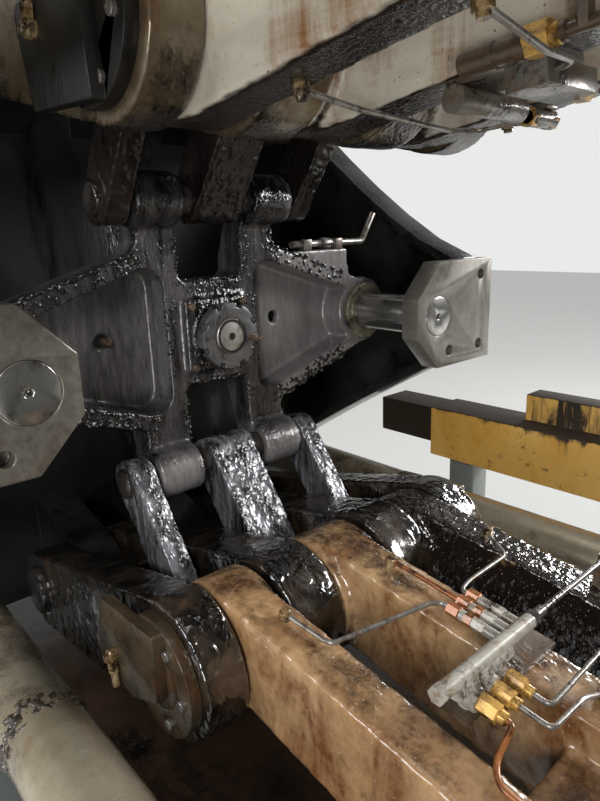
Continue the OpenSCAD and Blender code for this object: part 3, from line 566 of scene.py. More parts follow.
@dataclass(frozen=True)
class RailPaint:
    """Orange paint on the side rail, with dark oil lying on its top and running down."""

    name: str = "orange_rail_paint"
    orange: RGB = (0.66, 0.345, 0.060)
    pale: RGB = (0.78, 0.49, 0.15)
    oil: RGB = (0.030, 0.020, 0.012)
    top: float = 0.738
    fade: float = 0.018
    block_end: float = -0.415
    block_fade: float = 0.004
    top_share: float = 0.35
    flat_share: Point = (0.0, 0.0, 0.75)
    runs_share: float = 2.4
    oil_span: Span = (0.35, 0.62)
    rough: Span = (0.42, 0.60)
    gloss: float = 0.35
    coat_rough: float = 0.15

    def material(self) -> bpy.types.Material:
        """Builds the rail's material once and returns it."""
        known = bpy.data.materials.get(self.name)
        if known:
            return known
        sheet = NodeSheet(self.name)
        patches = sheet.spread(sheet.noise(5.0, 8, 0.65, (1, 1, 0.5), 0.8), 0.42, 0.66)
        height = sheet.spread(sheet.axis("Z"), self.top - self.fade, self.top)
        level = sheet.plus(sheet.times(height, self.top_share), sheet.facing(self.flat_share))
        runs = sheet.swing(sheet.noise(22.0, 6, 0.7, (1, 1, 0.15), 0.5), self.runs_share)
        oil = sheet.spread(sheet.plus(level, runs), *self.oil_span)
        specks = sheet.spread(sheet.noise(60.0, 5, 0.75), 0.60, 0.68)
        block = sheet.spread(sheet.axis("X"), self.block_end, self.block_end - self.block_fade)
        oil = sheet.sums("MAXIMUM", sheet.sums("MAXIMUM", oil, specks), block)
        paint = sheet.blend(patches, self.orange, self.pale)
        sheet.put(sheet.shader, {
            "Base Color": sheet.blend(oil, paint, self.oil),
            "Roughness": sheet.between(oil, *self.rough),
            "Normal": sheet.relief(sheet.noise(90.0, 6, 0.6), 0.5),
            "Specular IOR Level": self.gloss, "Coat Weight": 0.0,
            "Coat Roughness": self.coat_rough})
        return sheet.material


class Shop:
    """Mesh work that the sub-assemblies share."""

    bend: float = 0.010
    pipe_sides: int = 16
    weld: float = 1e-5
    flat_deg: float = 0.6
    bevel_deg: float = 38.0
    sharp_deg: float = 34.0

    @staticmethod
    def add(name: str, mesh: bpy.types.Mesh, finish: Finish | RailPaint, body: Body) -> Piece:
        """Puts a mesh in the scene as a dressed piece.

        Args:
            name: the piece's name.
            mesh: its mesh, in the row frame.
            finish: its finish.
            body: the body it rides on.

        Returns:
            The new piece.
        """
        piece = bpy.data.objects.new(name, mesh)
        bpy.context.scene.collection.objects.link(piece)
        mesh.materials.clear()
        mesh.materials.append(finish.material())
        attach(piece, body.value)
        log.info("%s: %d faces on %s", name, len(mesh.polygons), body.value)
        return piece

    @classmethod
    def stand_in(cls, node: str, name: str, mesh: bpy.types.Mesh, finish: Finish | RailPaint,
                 body: Body) -> Piece:
        """Puts a mesh in the scene in place of a node, which it hides.

        Args:
            node: the node that the piece stands for.
            name: the piece's name.
            mesh: its mesh, in the row frame.
            finish: its finish.
            body: the body it rides on.

        Returns:
            The new piece.
        """
        piece = cls.add(name, mesh, finish, body)
        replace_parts(piece, node)
        return piece

    @staticmethod
    def smooth(mesh: bpy.types.Mesh) -> None:
        """Shades every face smooth."""
        for poly in mesh.polygons:
            poly.use_smooth = True

    @staticmethod
    def apply(piece: Piece) -> None:
        """Turns modifiers into mesh.

        Args:
            piece: the piece that has them.
        """
        graph = bpy.context.evaluated_depsgraph_get()
        done = bpy.data.meshes.new_from_object(piece.evaluated_get(graph))
        old = piece.data
        piece.modifiers.clear()
        piece.data = done
        bpy.data.meshes.remove(old)

    @classmethod
    def melt(cls, piece: Piece, voxel_mm: float, rounds: int) -> None:
        """Melts a piece into one skin with rounded edges.

        Args:
            piece: the piece.
            voxel_mm: size of the skin's faces.
            rounds: rounds of smoothing.
        """
        skin = piece.modifiers.new("skin", "REMESH")
        skin.mode = "VOXEL"
        skin.voxel_size = voxel_mm * MM
        even = piece.modifiers.new("even", "SMOOTH")
        even.iterations = rounds
        cls.apply(piece)

    @classmethod
    def cast(cls, node: str, name: str, finish: Finish, body: Body, voxel_mm: float,
             lumps_mm: float, lump_size_mm: float, rounds: int = 3) -> None:
        """Remakes a node as a rough casting: rounded edges and a lumpy skin.

        Args:
            node: the node that the piece stands for.
            name: the piece's name.
            finish: its finish.
            body: the body it rides on.
            voxel_mm: size of the new mesh's faces.
            lumps_mm: height of the lumps.
            lump_size_mm: width of the lumps.
            rounds: rounds of smoothing.
        """
        piece = cls.stand_in(node, name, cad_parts[node].data.copy(), finish, body)
        cls.melt(piece, voxel_mm, rounds)
        low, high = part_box(node)
        mesh = piece.data
        normals = [v.normal.copy() for v in mesh.vertices]
        for v, n in zip(mesh.vertices, normals):
            q = v.co / (lump_size_mm * MM)
            w = noise.noise(q) * 0.6 + noise.noise(q * 2.3) * 0.4
            p = v.co + n * (w * lumps_mm * MM)
            v.co = Vector([min(max(p[i], low[i]), high[i]) for i in range(3)])
        cls.smooth(mesh)

    @classmethod
    def machined(cls, node: str, name: str, finish: Finish | RailPaint, body: Body,
                 bevel_mm: float) -> None:
        """Remakes a node with clean faces and small bevelled edges.

        Args:
            node: the node that the piece stands for.
            name: the piece's name.
            finish: its finish.
            body: the body it rides on.
            bevel_mm: width of the bevels.
        """
        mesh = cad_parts[node].data.copy()
        shape = bmesh.new()
        shape.from_mesh(mesh)
        bmesh.ops.remove_doubles(shape, verts=shape.verts, dist=cls.weld)
        bmesh.ops.dissolve_limit(shape, angle_limit=math.radians(cls.flat_deg),
                                 verts=shape.verts, edges=shape.edges)
        shape.to_mesh(mesh)
        shape.free()
        piece = cls.stand_in(node, name, mesh, finish, body)
        bevel = piece.modifiers.new("edges", "BEVEL")
        bevel.width = bevel_mm * MM
        bevel.segments = 2
        bevel.limit_method = "ANGLE"
        bevel.angle_limit = math.radians(cls.bevel_deg)
        bevel.use_clamp_overlap = True
        cls.apply(piece)
        piece.data.set_sharp_from_angle(angle=math.radians(cls.sharp_deg))

    @staticmethod
    def ring(shape: Shape, sides: int,
             place: Callable[[float, float], Vector]) -> list[bmesh.types.BMVert]:
        """Adds a ring of points.

        Args:
            shape: the mesh to add to.
            sides: number of points.
            place: gives a point from the cosine and sine of its angle.

        Returns:
            The points.
        """
        turns = [2 * math.pi * k / sides for k in range(sides)]
        return [shape.verts.new(place(math.cos(t), math.sin(t))) for t in turns]

    @staticmethod
    def wrap(shape: Shape, rings: list[list[bmesh.types.BMVert]], caps: int = 2) -> None:
        """Adds the faces between rings, and caps.

        Args:
            shape: the mesh to add to.
            rings: rings of as many points each.
            caps: 0 for none, 1 for one at the first ring, 2 for both ends.
        """
        for a, b in zip(rings, rings[1:]):
            for k in range(len(a)):
                n = (k + 1) % len(a)
                shape.faces.new((a[k], a[n], b[n], b[k]))
        if caps > 0:
            shape.faces.new(list(reversed(rings[0])))
        if caps > 1:
            shape.faces.new(rings[-1])

    @classmethod
    def prism(cls, shape: Shape, start: Vector, axis: Vector, radius: float, length: float,
              sides: int = 24, taper: float = 0.0) -> None:
        """Adds a bar along an axis, sizes in metres.

        Args:
            shape: the mesh to add to.
            start: middle of its first end.
            axis: direction of its length.
            radius: its radius.
            length: its length.
            sides: number of sides.
            taper: width of the far end's chamfer.
        """
        turn = axis.normalized().to_track_quat("Z", "Y").to_matrix()
        levels = ((0.0, radius), (length - taper, radius), (length, radius - taper))
        cls.wrap(shape, [cls.ring(shape, sides, lambda c, s, z=z, r=r: start
                                  + turn @ Vector((r * c, r * s, z))) for z, r in levels])

    @classmethod
    def tube(cls, shape: Shape, route: list[Vector], radius: float) -> None:
        """Adds a pipe along a route, with its corners bent, sizes in metres.

        Args:
            shape: the mesh to add to.
            route: the corners.
            radius: the pipe's radius.
        """
        path = [route[0]]
        for a, b, c in zip(route, route[1:], route[2:]):
            u, v = (a - b), (c - b)
            reach = min(cls.bend, u.length * 0.45, v.length * 0.45)
            u, v = u.normalized() * reach, v.normalized() * reach
            path += [b + u * (1 - t) ** 2 + v * t ** 2
                     for t in (0.0, 0.17, 0.33, 0.5, 0.67, 0.83, 1.0)]
        path.append(route[-1])
        rings = []
        side = UP.cross(path[1] - path[0]).normalized()
        for i, p in enumerate(path):
            way = (path[min(i + 1, len(path) - 1)] - path[max(i - 1, 0)]).normalized()
            side = (side - way * side.dot(way)).normalized()
            up = way.cross(side)
            rings.append(cls.ring(shape, cls.pipe_sides,
                                  lambda c, s: p + radius * (c * side + s * up)))
        cls.wrap(shape, rings)

    @classmethod
    def socket_bolt(cls, shape: Shape, seat: Vector, axis: Vector, size: float) -> None:
        """Adds a socket head bolt.

        Args:
            shape: the mesh to add to.
            seat: middle of the head's underside.
            axis: direction that the head points in.
            size: width of the shank in metres.
        """
        cls.prism(shape, seat, axis, size * 0.78, size, 28, size * 0.08)
        turn = axis.normalized().to_track_quat("Z", "Y").to_matrix()
        top, r = seat + axis.normalized() * size, size * 0.42
        rings = [cls.ring(shape, 6, lambda c, s, r=r, z=z: top + turn @ Vector((r * c, r * s, z)))
                 for r, z in ((r, 0.0002), (r * 0.96, -size * 0.5))]
        cls.wrap(shape, rings[::-1], 1)

    @classmethod
    def hex_bolt(cls, shape: Shape, seat: Vector, axis: Vector, size: float) -> None:
        """Adds a washer, a hexagon nut and a bolt end.

        Args:
            shape: the mesh to add to.
            seat: middle of the washer's underside.
            axis: direction that the bolt end points in.
            size: width of the shank in metres.
        """
        way = axis.normalized()
        cls.prism(shape, seat, way, size * 1.05, size * 0.16, 28)
        cls.prism(shape, seat + way * size * 0.16, way, size * 0.88, size * 0.75, 6, size * 0.08)
        cls.prism(shape, seat + way * size * 0.9, way, size * 0.5, size * 0.35, 20, size * 0.1)

    @classmethod
    def mesh_of(cls, shape: Shape, name: str, sharp_deg: float = sharp_deg) -> bpy.types.Mesh:
        """Turns a bmesh into a mesh with smooth round faces and sharp corners.

        Args:
            shape: the bmesh, which is freed.
            name: the mesh's name.
            sharp_deg: angle from which an edge stays sharp.

        Returns:
            The mesh.
        """
        bmesh.ops.recalc_face_normals(shape, faces=shape.faces)
        mesh = bpy.data.meshes.new(name)
        shape.to_mesh(mesh)
        shape.free()
        cls.smooth(mesh)
        mesh.set_sharp_from_angle(angle=math.radians(sharp_deg))
        return mesh

    @classmethod
    def made(cls, shape: Shape, name: str, finish: Finish, body: Body) -> Piece:
        """Turns a bmesh into a dressed piece."""
        return cls.add(name, cls.mesh_of(shape, name), finish, body)


@dataclass
class Half:
    """A sub-assembly that is built above and below the guide rods."""

    upper: bool
    bodies: tuple[Body, Body] = (Body.UPPER_FRONT, Body.LOWER_FRONT)

    @property
    def half(self) -> str:
        """Name of this half."""
        return "upper" if self.upper else "lower"

    @property
    def side(self) -> int:
        """1 above the guide rods and -1 below."""
        return 1 if self.upper else -1

    @property
    def body(self) -> Body:
        """The body that it rides on."""
        return self.bodies[0 if self.upper else 1]


@dataclass
class GreaseLine:
    """Beads of grease along a run of edges."""

    path: list[Point]
    size_mm: float
    spread_mm: Point
    every_mm: float


@dataclass
class Grease:
    """Grease that has worked its way to the edges of a piece and set in beads."""

    name: str
    body: Body
    lines: list[GreaseLine]
    seed: int = 5
    voxel_mm: float = 1.7
    finish: Finish = BLACK_GREASE
    gaps: float = 0.16
    sizes: tuple[float, ...] = (0.5, 0.6, 0.75, 0.9, 1.2)
    width: Span = (0.7, 1.2)
    depth: Span = (0.8, 1.6)

    def build(self) -> None:
        """Lays the beads and melts them together."""
        rng = random.Random(self.seed)
        shape = bmesh.new()
        bmesh.ops.create_icosphere(shape, subdivisions=1, radius=MM)
        bead = [v.co.copy() for v in shape.verts]
        sides = [[v.index for v in f.verts] for f in shape.faces]
        shape.free()
        points, faces = [], []
        for line in self.lines:
            for a, b in zip(line.path, line.path[1:]):
                a, b = Vector(a), Vector(b)
                steps = max(1, int((b - a).length / line.every_mm))
                for i in range(steps):
                    if rng.random() < self.gaps:
                        continue
                    p = a.lerp(b, (i + rng.random()) / steps)
                    p += Vector([rng.uniform(-w, w) for w in line.spread_mm])
                    r = line.size_mm * rng.choice(self.sizes)
                    size = Vector([r * rng.uniform(*span)
                                   for span in (self.width, self.depth, self.width)])
                    first, middle = len(points), at(*p)
                    points.extend([middle + v * size for v in bead])
                    faces.extend([[first + k for k in side] for side in sides])
        mesh = bpy.data.meshes.new(self.name)
        mesh.from_pydata(points, [], faces)
        piece = Shop.add(self.name, mesh, self.finish, self.body)
        Shop.melt(piece, self.voxel_mm, 2)
        Shop.smooth(piece.data)


@dataclass
class Crosshead:
    """The cast crosshead with its bushings, piston nut, pins and the grease on its edges."""

    front: float = -200.0
    arm_half: float = 140.0
    slope: float = 0.33
    wing_top: float = 151.0
    wing_low: float = -152.0
    wing_tip: float = 332.0
    flanges: Span = (30.0, 27.0)
    waist: float = 96.0
    hub_half: float = 70.0
    arm_inner: float = 76.0
    arm_outer: float = 152.0
    arm_run: Span = (100.0, 175.0)
    arm_end: float = 186.0
    windows: Span = (97.0, -85.0)
    window_half: float = 68.0
    screws: float = 54.0
    wing_hole: float = 188.0
    rod_rings: tuple[Point, ...] = ((29.5, 25.5, 1.6), (6.5, 3.6, 1.2))

    def edge(self, y: float, top: bool, inset: float = 0.0) -> float:
        """Height of a wing's edge at a distance from the centre plane."""
        reach = self.slope * (abs(y) - self.arm_half)
        return self.wing_top - reach - inset if top else self.wing_low + reach + inset

    def line(self, route: list[Span], size: float, spread: Point, every: float,
             out: float = -1.5) -> GreaseLine:
        """A line of beads through points given across and up, a distance out from the front."""
        return GreaseLine([(self.front + out, y, z) for y, z in route], size, spread, every)

    def grease_lines(self) -> list[GreaseLine]:
        """Runs along the edges of the wings, pockets and windows where beads have set."""
        lines = []
        a, w, tip, hub = self.arm_half, self.waist - 2, self.wing_tip, self.hub_half
        for s in (-1, 1):
            for top, flange in zip((True, False), self.flanges):
                mid = flange * 0.5
                z = self.edge(a, top)
                lines += [
                    self.line([(s * (a - 15), self.edge(a - 15, top, mid)),
                               (s * tip, self.edge(tip, top, mid))],
                              3.6, (1.0, 3.0, mid * 0.9), 0.9),
                    self.line([(s * (a - 5), self.edge(a, top, -1)),
                               (s * (tip + 3), self.edge(tip + 3, top, -1))], 4.4, (3, 3, 2), 3.5),
                    self.line([(s * a, z), (s * (a - 2), 1.3 * z)], 4.4, (2, 3, 3), 3.5)]
            lines += [self.line([(s * w, hub), (s * w, -hub)], 2.8, (1, 6, 4), 2),
                      self.line([(s * 82, hub - 4), (s * 82, 4 - hub)], 2.8, (1, 8, 4), 1.3)]
            for up in (1, -1):
                low, high = (up * z for z in self.arm_run)
                for y, start, every in ((self.arm_inner, low, 3), (self.arm_outer, low * 1.6, 4)):
                    lines.append(self.line([(s * y, start), (s * y, high)], 2.6, (1, 2, 4), every,
                                           4.5))
        y = self.window_half
        for z, up in zip(self.windows, (1, -1)):
            end, inside = up * self.arm_end, z - up * 12
            lines += [self.line([(-y, end), (-y, z), (y, z), (y, end)], 3.6, (2, 3, 3), 3),
                      self.line([(-y, inside), (y, inside)], 2.8, (1, 4, 9), 1.0)]
        return lines

    def nut_bolts(self) -> None:
        """Set screws round the piston nut and the grease nipples on the hub plate."""
        shape = bmesh.new()
        n = self.screws
        for y, z in ((n, n), (-n, n), (n, -n), (-n, -n)):
            Shop.socket_bolt(shape, at(self.front + 12, y, z), FORWARD, 0.008)
        for spot, way, radius, length, sides in (
                (at(self.front + 44, 41, -7), (1, 0.1, 0), 0.0058, 0.030, 6),
                (at(self.front + 70, 43.6, -7), (1, 0.1, 0), 0.0040, 0.010, 12),
                (at(self.front - 62, -self.wing_hole, 4), (1, 0.25, 0.1), 0.0085, 0.016, 6)):
            Shop.prism(shape, spot, Vector(way), radius, length, sides, 0.001)
        Shop.made(shape, "hub_plate_bolts", RUST_OIL, Body.CROSSHEAD)

    def rod_end(self) -> None:
        """Ring and edge of the rod's end in the middle of the nut, and a black disc that paints
        the shade of its centre hole.
        """
        shape = bmesh.new()
        face = self.front + 54
        for outer, inner, out in self.rod_rings:
            corners = ((outer, face), (outer, face + out), (inner, face + out), (inner, face))
            Shop.wrap(shape, [Shop.ring(
                shape, 48, lambda c, s, r=r, x=x: at(x, r * c, r * s)) for r, x in corners], 0)
        # A thin black disc as painted shade of the centre hole.
        Shop.prism(shape, at(face, 0, 0), FORWARD, 0.0036, 0.0008)
        Shop.made(shape, "rod_end_ring", BLACK_GREASE, Body.CROSSHEAD)

    def build(self) -> None:
        """Builds the crosshead's pieces."""
        body = Body.CROSSHEAD
        Shop.cast("crosshead", "crosshead_casting", CASTING, body, 4.5, 0.9, 22.0)
        for node, name, finish, bevel_mm in (
                ("guide_bushings", "seal_rings", SEAL, 2.0),
                ("piston_nut", "castle_nut", HUB_NUT, 1.6),
                ("piston_rod", "ram", PIN_FACE, 3.0),
                ("crosshead_pins", "cross_pins", PIN_DARK, 3.0),
                ("wing_oil_fitting", "wing_nipple", GREY_PIPE, 0.8)):
            Shop.machined(node, name, finish, body, bevel_mm)
        self.nut_bolts()
        self.rod_end()
        Grease("crosshead_grease", body, self.grease_lines()).build()


@dataclass
class SmallLinks(Half):
    """The wide link and the two narrow links at one end of the crosshead."""

    bodies: tuple[Body, Body] = (Body.UPPER_SMALL, Body.LOWER_SMALL)
    voxel_mm: float = 3.2
    lump_size_mm: float = 11.0

    def build(self) -> None:
        """Builds the links with their coat of wet grease."""
        finish = LINK_DARK if self.upper else LINK_GREASE
        for links, lumps_mm in (("wide_link", 2.4), ("narrow_links", 2.2)):
            Shop.cast(f"{self.half}_{links}", f"{self.half}_{links}_greased", finish, self.body,
                      self.voxel_mm, lumps_mm, self.lump_size_mm, 2)


@dataclass
class RearLink(Half):
    """A rear link with its knee pin, small pin, cover rings and keepers."""

    bodies: tuple[Body, Body] = (Body.UPPER_REAR, Body.LOWER_REAR)
    knee: Span = (88.0, 388.0)
    face: float = 304.0
    ring: float = 16.0
    bolt_circle: float = 64.0
    bolts: int = 6
    first_bolt: float = -0.1
    nipple_x: float = -4.0
    nipple_z: float = 396.0

    def cover_bolts(self) -> None:
        """Sets socket bolts round each cover ring."""
        shape = bmesh.new()
        for s in (-1, 1):
            for k in range(self.bolts):
                t = 2 * math.pi * (k + self.first_bolt) / self.bolts
                Shop.socket_bolt(shape, at(
                    self.knee[0] + self.bolt_circle * math.cos(t), s * (self.face + self.ring - 4),
                    self.side * self.knee[1] + self.bolt_circle * math.sin(t)),
                    Vector((0, s, 0)), 0.0095)
        Shop.made(shape, f"{self.half}_cover_bolts", BOLT_BRIGHT, self.body)

    def nipple(self) -> None:
        """Grease nipple with its clamp, hanging at the lower corner of each keeper plate."""
        shape = bmesh.new()
        x, z = self.nipple_x, self.nipple_z
        for s in (-1, 1):
            y = s * (self.face + 2 * self.ring)
            out, down = Vector((0, s, 0)), Vector((0.1, 0, self.side))
            Shop.prism(shape, at(x, y, self.side * z), out, 0.011, 0.010, 24, 0.001)
            Shop.prism(shape, at(x, y + s * 10, self.side * z), out, 0.007, 0.006, 6, 0.001)
            for dx, dz, radius, length, sides, taper in ((2, 8, 0.0075, 0.016, 6, 0.001),
                                                         (4, 23, 0.0055, 0.024, 16, 0.002)):
                Shop.prism(shape, at(x + dx, y + s * 6, self.side * (z + dz)), down, radius,
                           length, sides, taper)
        Shop.made(shape, f"{self.half}_knee_nipples", DIRTY_BRASS, self.body)

    def build(self) -> None:
        """Builds one rear link's pieces."""
        half, body = self.half, self.body
        # The upper cover finish is painted shade.
        finish, cover = (KNEE_GOLD, COVER_PAINTED_SHADE) if self.upper else (REAR_LINK, COVER_BROWN)
        Shop.cast(f"{half}_rear_link", f"{half}_rear_link_casting", finish, body, 5.0, 1.0,
                  26.0)
        Shop.machined(f"{half}_knee_pin", f"{half}_knee_shaft", cover, body, 3.0)
        Shop.machined(f"{half}_small_pin", f"{half}_small_shaft", PIN_DARK, body, 3.0)
        Shop.machined(f"{half}_pin_covers", f"{half}_covers", cover, body, 2.0)
        self.cover_bolts()
        self.nipple()


@dataclass
class FrontLink(Half):
    """A front link: three beams from the knee to the moving platen."""

    voxel_mm: float = 5.5
    lumps_mm: float = 1.0
    lump_size_mm: float = 30.0

    def build(self) -> None:
        """Builds one front link."""
        Shop.cast(f"{self.half}_front_link", f"{self.half}_front_link_casting",
                  PALE_BEAM if self.upper else RUSTY_BEAM, self.body,
                  self.voxel_mm, self.lumps_mm, self.lump_size_mm)


@dataclass
class OilLines(Half):
    """Oil distributors, pipes and nuts on one front link, in millimetres along the link."""

    knee: Span = (88.0, 388.0)
    inner: float = 97.0
    angle: float = math.asin(104 / 807)
    outlets: Point = (-130, -103, -76)
    valves: Point = (-13, 9, 31)
    copper_runs: tuple = (
        ((120, 9, 7), (160, 9, 9), (238, 9, 9)),
        ((376, -130, 23), (392, -130, 23), (398, -168, 9), (412, -186, 4.5), (520, -190, 4.5)))
    grey_runs: tuple = (
        ((112, -190, 6), (179, -183, 6), (210, -26, 9), (220, -13, 9), (238, -13, 9)),
        ((162, 189, 6), (214, 152, 12), (215, 54, 11), (219, 31, 9), (238, 31, 9)),
        ((376, -76, 23), (404, -76, 23), (402, 46, 24), (396, 186, 16)),
        ((376, -103, 23), (420, -103, 23), (421, -34, 20), (427, 0, 9)))
    dark_runs: tuple = (
        ((160, -177, 6), (150, -91, 12), (132, 94, 16), (150, 130, 18), (206, 150, 19)),
        ((158, 206, 6), (190, 212, 12), (217, 206, 19), (217, 194, 19)),
        ((330, -14, 20), (350, -20, 20), (352, -76, 20), (360, -174, 8)),
        ((306, 98, 20), (306, 120, 20), (330, 150, 14), (340, 182, 8)))
    lower_banjos: tuple = ((112, 9, 9.0, 13.0), (105, -191, 9.0, 12.0), (158, 193, 9.0, 13.0),
                           (396, 190, 10.0, 22.0), (430, 6, 9.0, 13.0), (526, -190, 9.0, 12.0))
    upper_banjos: tuple = ((160, -185, 9.0, 12.0), (150, 206, 9.0, 12.0), (360, -182, 9.0, 13.0),
                           (342, 190, 9.0, 13.0))
    valve_steps: tuple = ((258, 12.0, 5.0), (262, 13.0, 34.0), (294, 11.0, 34.0),
                          (318, 14.0, 10.0), (352, 9.0, 12.0), (362, 6.0, 44.0))

    def spot(self, x: float, y: float, n: float) -> Vector:
        """Turns a point on the link into the row frame.

        Args:
            x: along the link from its knee.
            y: across.
            n: off the link's inner edge.

        Returns:
            The point in metres.
        """
        z = -self.inner - n
        along = x * math.cos(self.angle) - z * math.sin(self.angle) + self.knee[0]
        high = x * math.sin(self.angle) + z * math.cos(self.angle) + self.knee[1]
        return at(along, y, self.side * high)

    def bar(self, shape: Shape, start: Point, way: Point, radius: float, length: float,
            sides: int = 24) -> None:
        """Adds a bar on the link, from a start along a way."""
        lean = (self.spot(*way) - self.spot(0, 0, 0)).normalized()
        Shop.prism(shape, self.spot(*start), lean, radius * MM, length * MM, sides,
                   min(1.2, radius * 0.12) * MM)

    def pipes(self, name: str, finish: Finish, runs: tuple, radius: float) -> Piece:
        """Builds bent pipes.

        Args:
            name: the piece's name.
            finish: its finish.
            runs: the pipes' routes.
            radius: the pipes' radius.

        Returns:
            The new piece.
        """
        shape = bmesh.new()
        for run in runs:
            Shop.tube(shape, [self.spot(*p) for p in run], radius * MM)
        return Shop.add(name, Shop.mesh_of(shape, name, 50), finish, self.body)

    def nuts(self, name: str, finish: Finish,
             spots: list[tuple[Point, Point, float, float]]) -> None:
        """Builds hexagon nuts with a round collar behind each.

        Args:
            name: the piece's name.
            finish: its finish.
            spots: start, direction, radius and length of each nut.
        """
        shape = bmesh.new()
        for start, way, radius, length in spots:
            self.bar(shape, start, way, radius, length, 6)
            self.bar(shape, start, way, radius * 0.66, length * 1.35, 20)
        Shop.made(shape, name, finish, self.body)

    def banjos(self, name: str, spots: tuple) -> None:
        """Builds the upright bolts that hold the pipes' ends; spots gives x, y, radius, length."""
        self.nuts(name, DIRTY_BRASS, [((x, y, -1), (0, 0, 1), radius, length)
                                      for x, y, radius, length in spots])

    def lower(self) -> None:
        """Builds the lower link's lines."""
        self.block()
        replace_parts(self.pipes("copper_pipes", COPPER, self.copper_runs, 3.6), "lower_oil_pipes")
        self.pipes("grey_pipes", GREY_PIPE, self.grey_runs, 3.2)
        ahead, across = (1, 0, 0), (0, 1, 0)
        self.nuts("outlet_nuts", BRASS, [((352, y, 23), ahead, 11.5, 24.0) for y in self.outlets])
        self.banjos("banjo_bolts", self.lower_banjos)
        self.nuts("valve_nuts", COPPER, [((230, y, 9), ahead, 9.6, 18.0) for y in self.valves]
                  + [((256, y, 9), ahead, 9.0, 12.0) for y in self.valves[:2]])
        shape = bmesh.new()
        for y, radius, length, sides in ((22, 4.2, 196.0, 16), (2, 11.0, 10.0, 6),
                                         (10, 7.5, 22.0, 20)):
            self.bar(shape, (331, y, 47), across, radius, length, sides)
        Shop.made(shape, "feed_rod", PIN_DARK, self.body)

    def block(self) -> None:
        """Builds the distributor: a lobed block under its feed tube, check valves and bracket."""
        shape = bmesh.new()
        ahead, across, off = (1, 0, 0), (0, 1, 0), (0, 0, 1)
        for y in self.outlets:
            self.bar(shape, (324, y, 23), ahead, 14.5, 29.0, 28)
            self.bar(shape, (338, y, 10), off, 11.0, 28.0)
        self.bar(shape, (331, -182, 47), across, 9.5, 184.0, 28)
        self.bar(shape, (331, -184, 47), across, 11.0, 12.0, 6)
        self.bar(shape, (331, -150, 34), across, 13.0, 100.0, 28)
        for y in self.valves:
            self.bar(shape, (248, y, 9), ahead, 7.5, 64.0)
            self.bar(shape, (268, y, 9), ahead, 8.6, 18.0, 6)
        first = Shop.made(shape, "lower_distributor", ZINC, self.body)
        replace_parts(first, "lower_oil_distributor")
        shape = bmesh.new()
        for start, middle, long, wide, thick in ((312, -57, 42, 190, 10), (323, 212, 18, 18, 54)):
            corners = [shape.verts.new(self.spot(x, y, n)) for n in (0, thick)
                       for x in (start, start + long)
                       for y in (middle - wide / 2, middle + wide / 2)]
            for side in ((0, 1, 3, 2), (4, 6, 7, 5), (0, 4, 5, 1), (2, 3, 7, 6), (0, 2, 6, 4),
                         (1, 5, 7, 3)):
                shape.faces.new([corners[k] for k in side])
        bmesh.ops.bevel(shape, geom=shape.edges, offset=0.0016, segments=2, affect="EDGES")
        for y in (-140, -40):
            self.bar(shape, (318, y, 9), off, 6.0, 6.0, 6)
        Shop.made(shape, "lower_bracket", RUST_OIL, self.body)

    def above(self) -> None:
        """Builds the upper link's lines."""
        Shop.machined("upper_oil_distributor", "upper_distributor", DIRTY_ZINC, self.body, 1.2)
        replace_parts(self.pipes("dark_pipes", GREY_PIPE, self.dark_runs, 3.4), "upper_oil_pipes")
        self.nuts("upper_nuts", BRASS, [((306, 72, 20), (0, 1, 0), 14.0, 26.0),
                                        ((217, 136, 19), (0, 1, 0), 12.0, 14.0),
                                        ((217, 184, 19), (0, 1, 0), 12.0, 14.0)])
        shape = bmesh.new()
        lean = (1, 0, 0.05)
        for x, radius, length in self.valve_steps:
            self.bar(shape, (x, -58, (x - 262) * 0.05), lean, radius, length, 28)
        self.bar(shape, (378, -58, 6), (0.2, -0.3, -1), 8.0, 26.0, 6)
        Shop.made(shape, "upper_valve", RUST_OIL, self.body)
        self.nuts("upper_valve_nut", BRASS, [((328, -58, 3.3), lean, 15.5, 23.0)])
        self.banjos("upper_banjo_bolts", self.upper_banjos)

    def build(self) -> None:
        """Builds one link's oil pieces."""
        if self.upper:
            self.above()
        else:
            self.lower()


@dataclass
class FixedFrame:
    """Everything that stands still: platens, arms, rods, tie bars, rail and base."""

    pieces: tuple = (
        # The rear platen's near-black finish is painted shade.
        ("rear_platen", "rear_platen_body", PLATEN_OIL_AND_SHADE, 5.0),
        ("fixed_platen", "fixed_platen_body", MOVING_PAINT, 6.0),
        ("left_side_arm", "left_arm", ARM_GREY, 3.0),
        ("left_end_block", "left_block", MILLED, 2.0),
        ("left_guide_rod", "left_rod", GROUND, 2.0),
        ("right_side_arm", "right_arm", ARM_GREY, 3.0),
        ("right_end_block", "right_block", MILLED, 2.0),
        ("right_guide_rod", "right_rod", GROUND, 2.0),
        ("clamp_cylinder", "cylinder", FRAME_PAINT, 5.0),
        ("rear_main_pins", "rear_pins", PIN_DARK, 4.0),
        ("upper_tie_bars", "upper_bars", STAINED_BAR, 4.0),
        ("lower_tie_bars", "lower_bars", STAINED_BAR, 4.0),
        ("tie_bar_nuts", "bar_nuts", RUST_OIL, 4.0),
        ("side_rail", "rail", RailPaint(), 3.0),
        ("rail_brackets", "brackets", FRAME_PAINT, 3.0),
        ("base_frame", "base", FRAME_PAINT, 4.0),
        ("oil_tray", "tray", TRAY_OIL, 1.5),
        ("levelling_feet", "feet", BOLT, 2.0))

    def build(self) -> None:
        """Builds the standing pieces."""
        for node, name, finish, bevel_mm in self.pieces:
            Shop.machined(node, name, finish, Body.FRAME, bevel_mm)


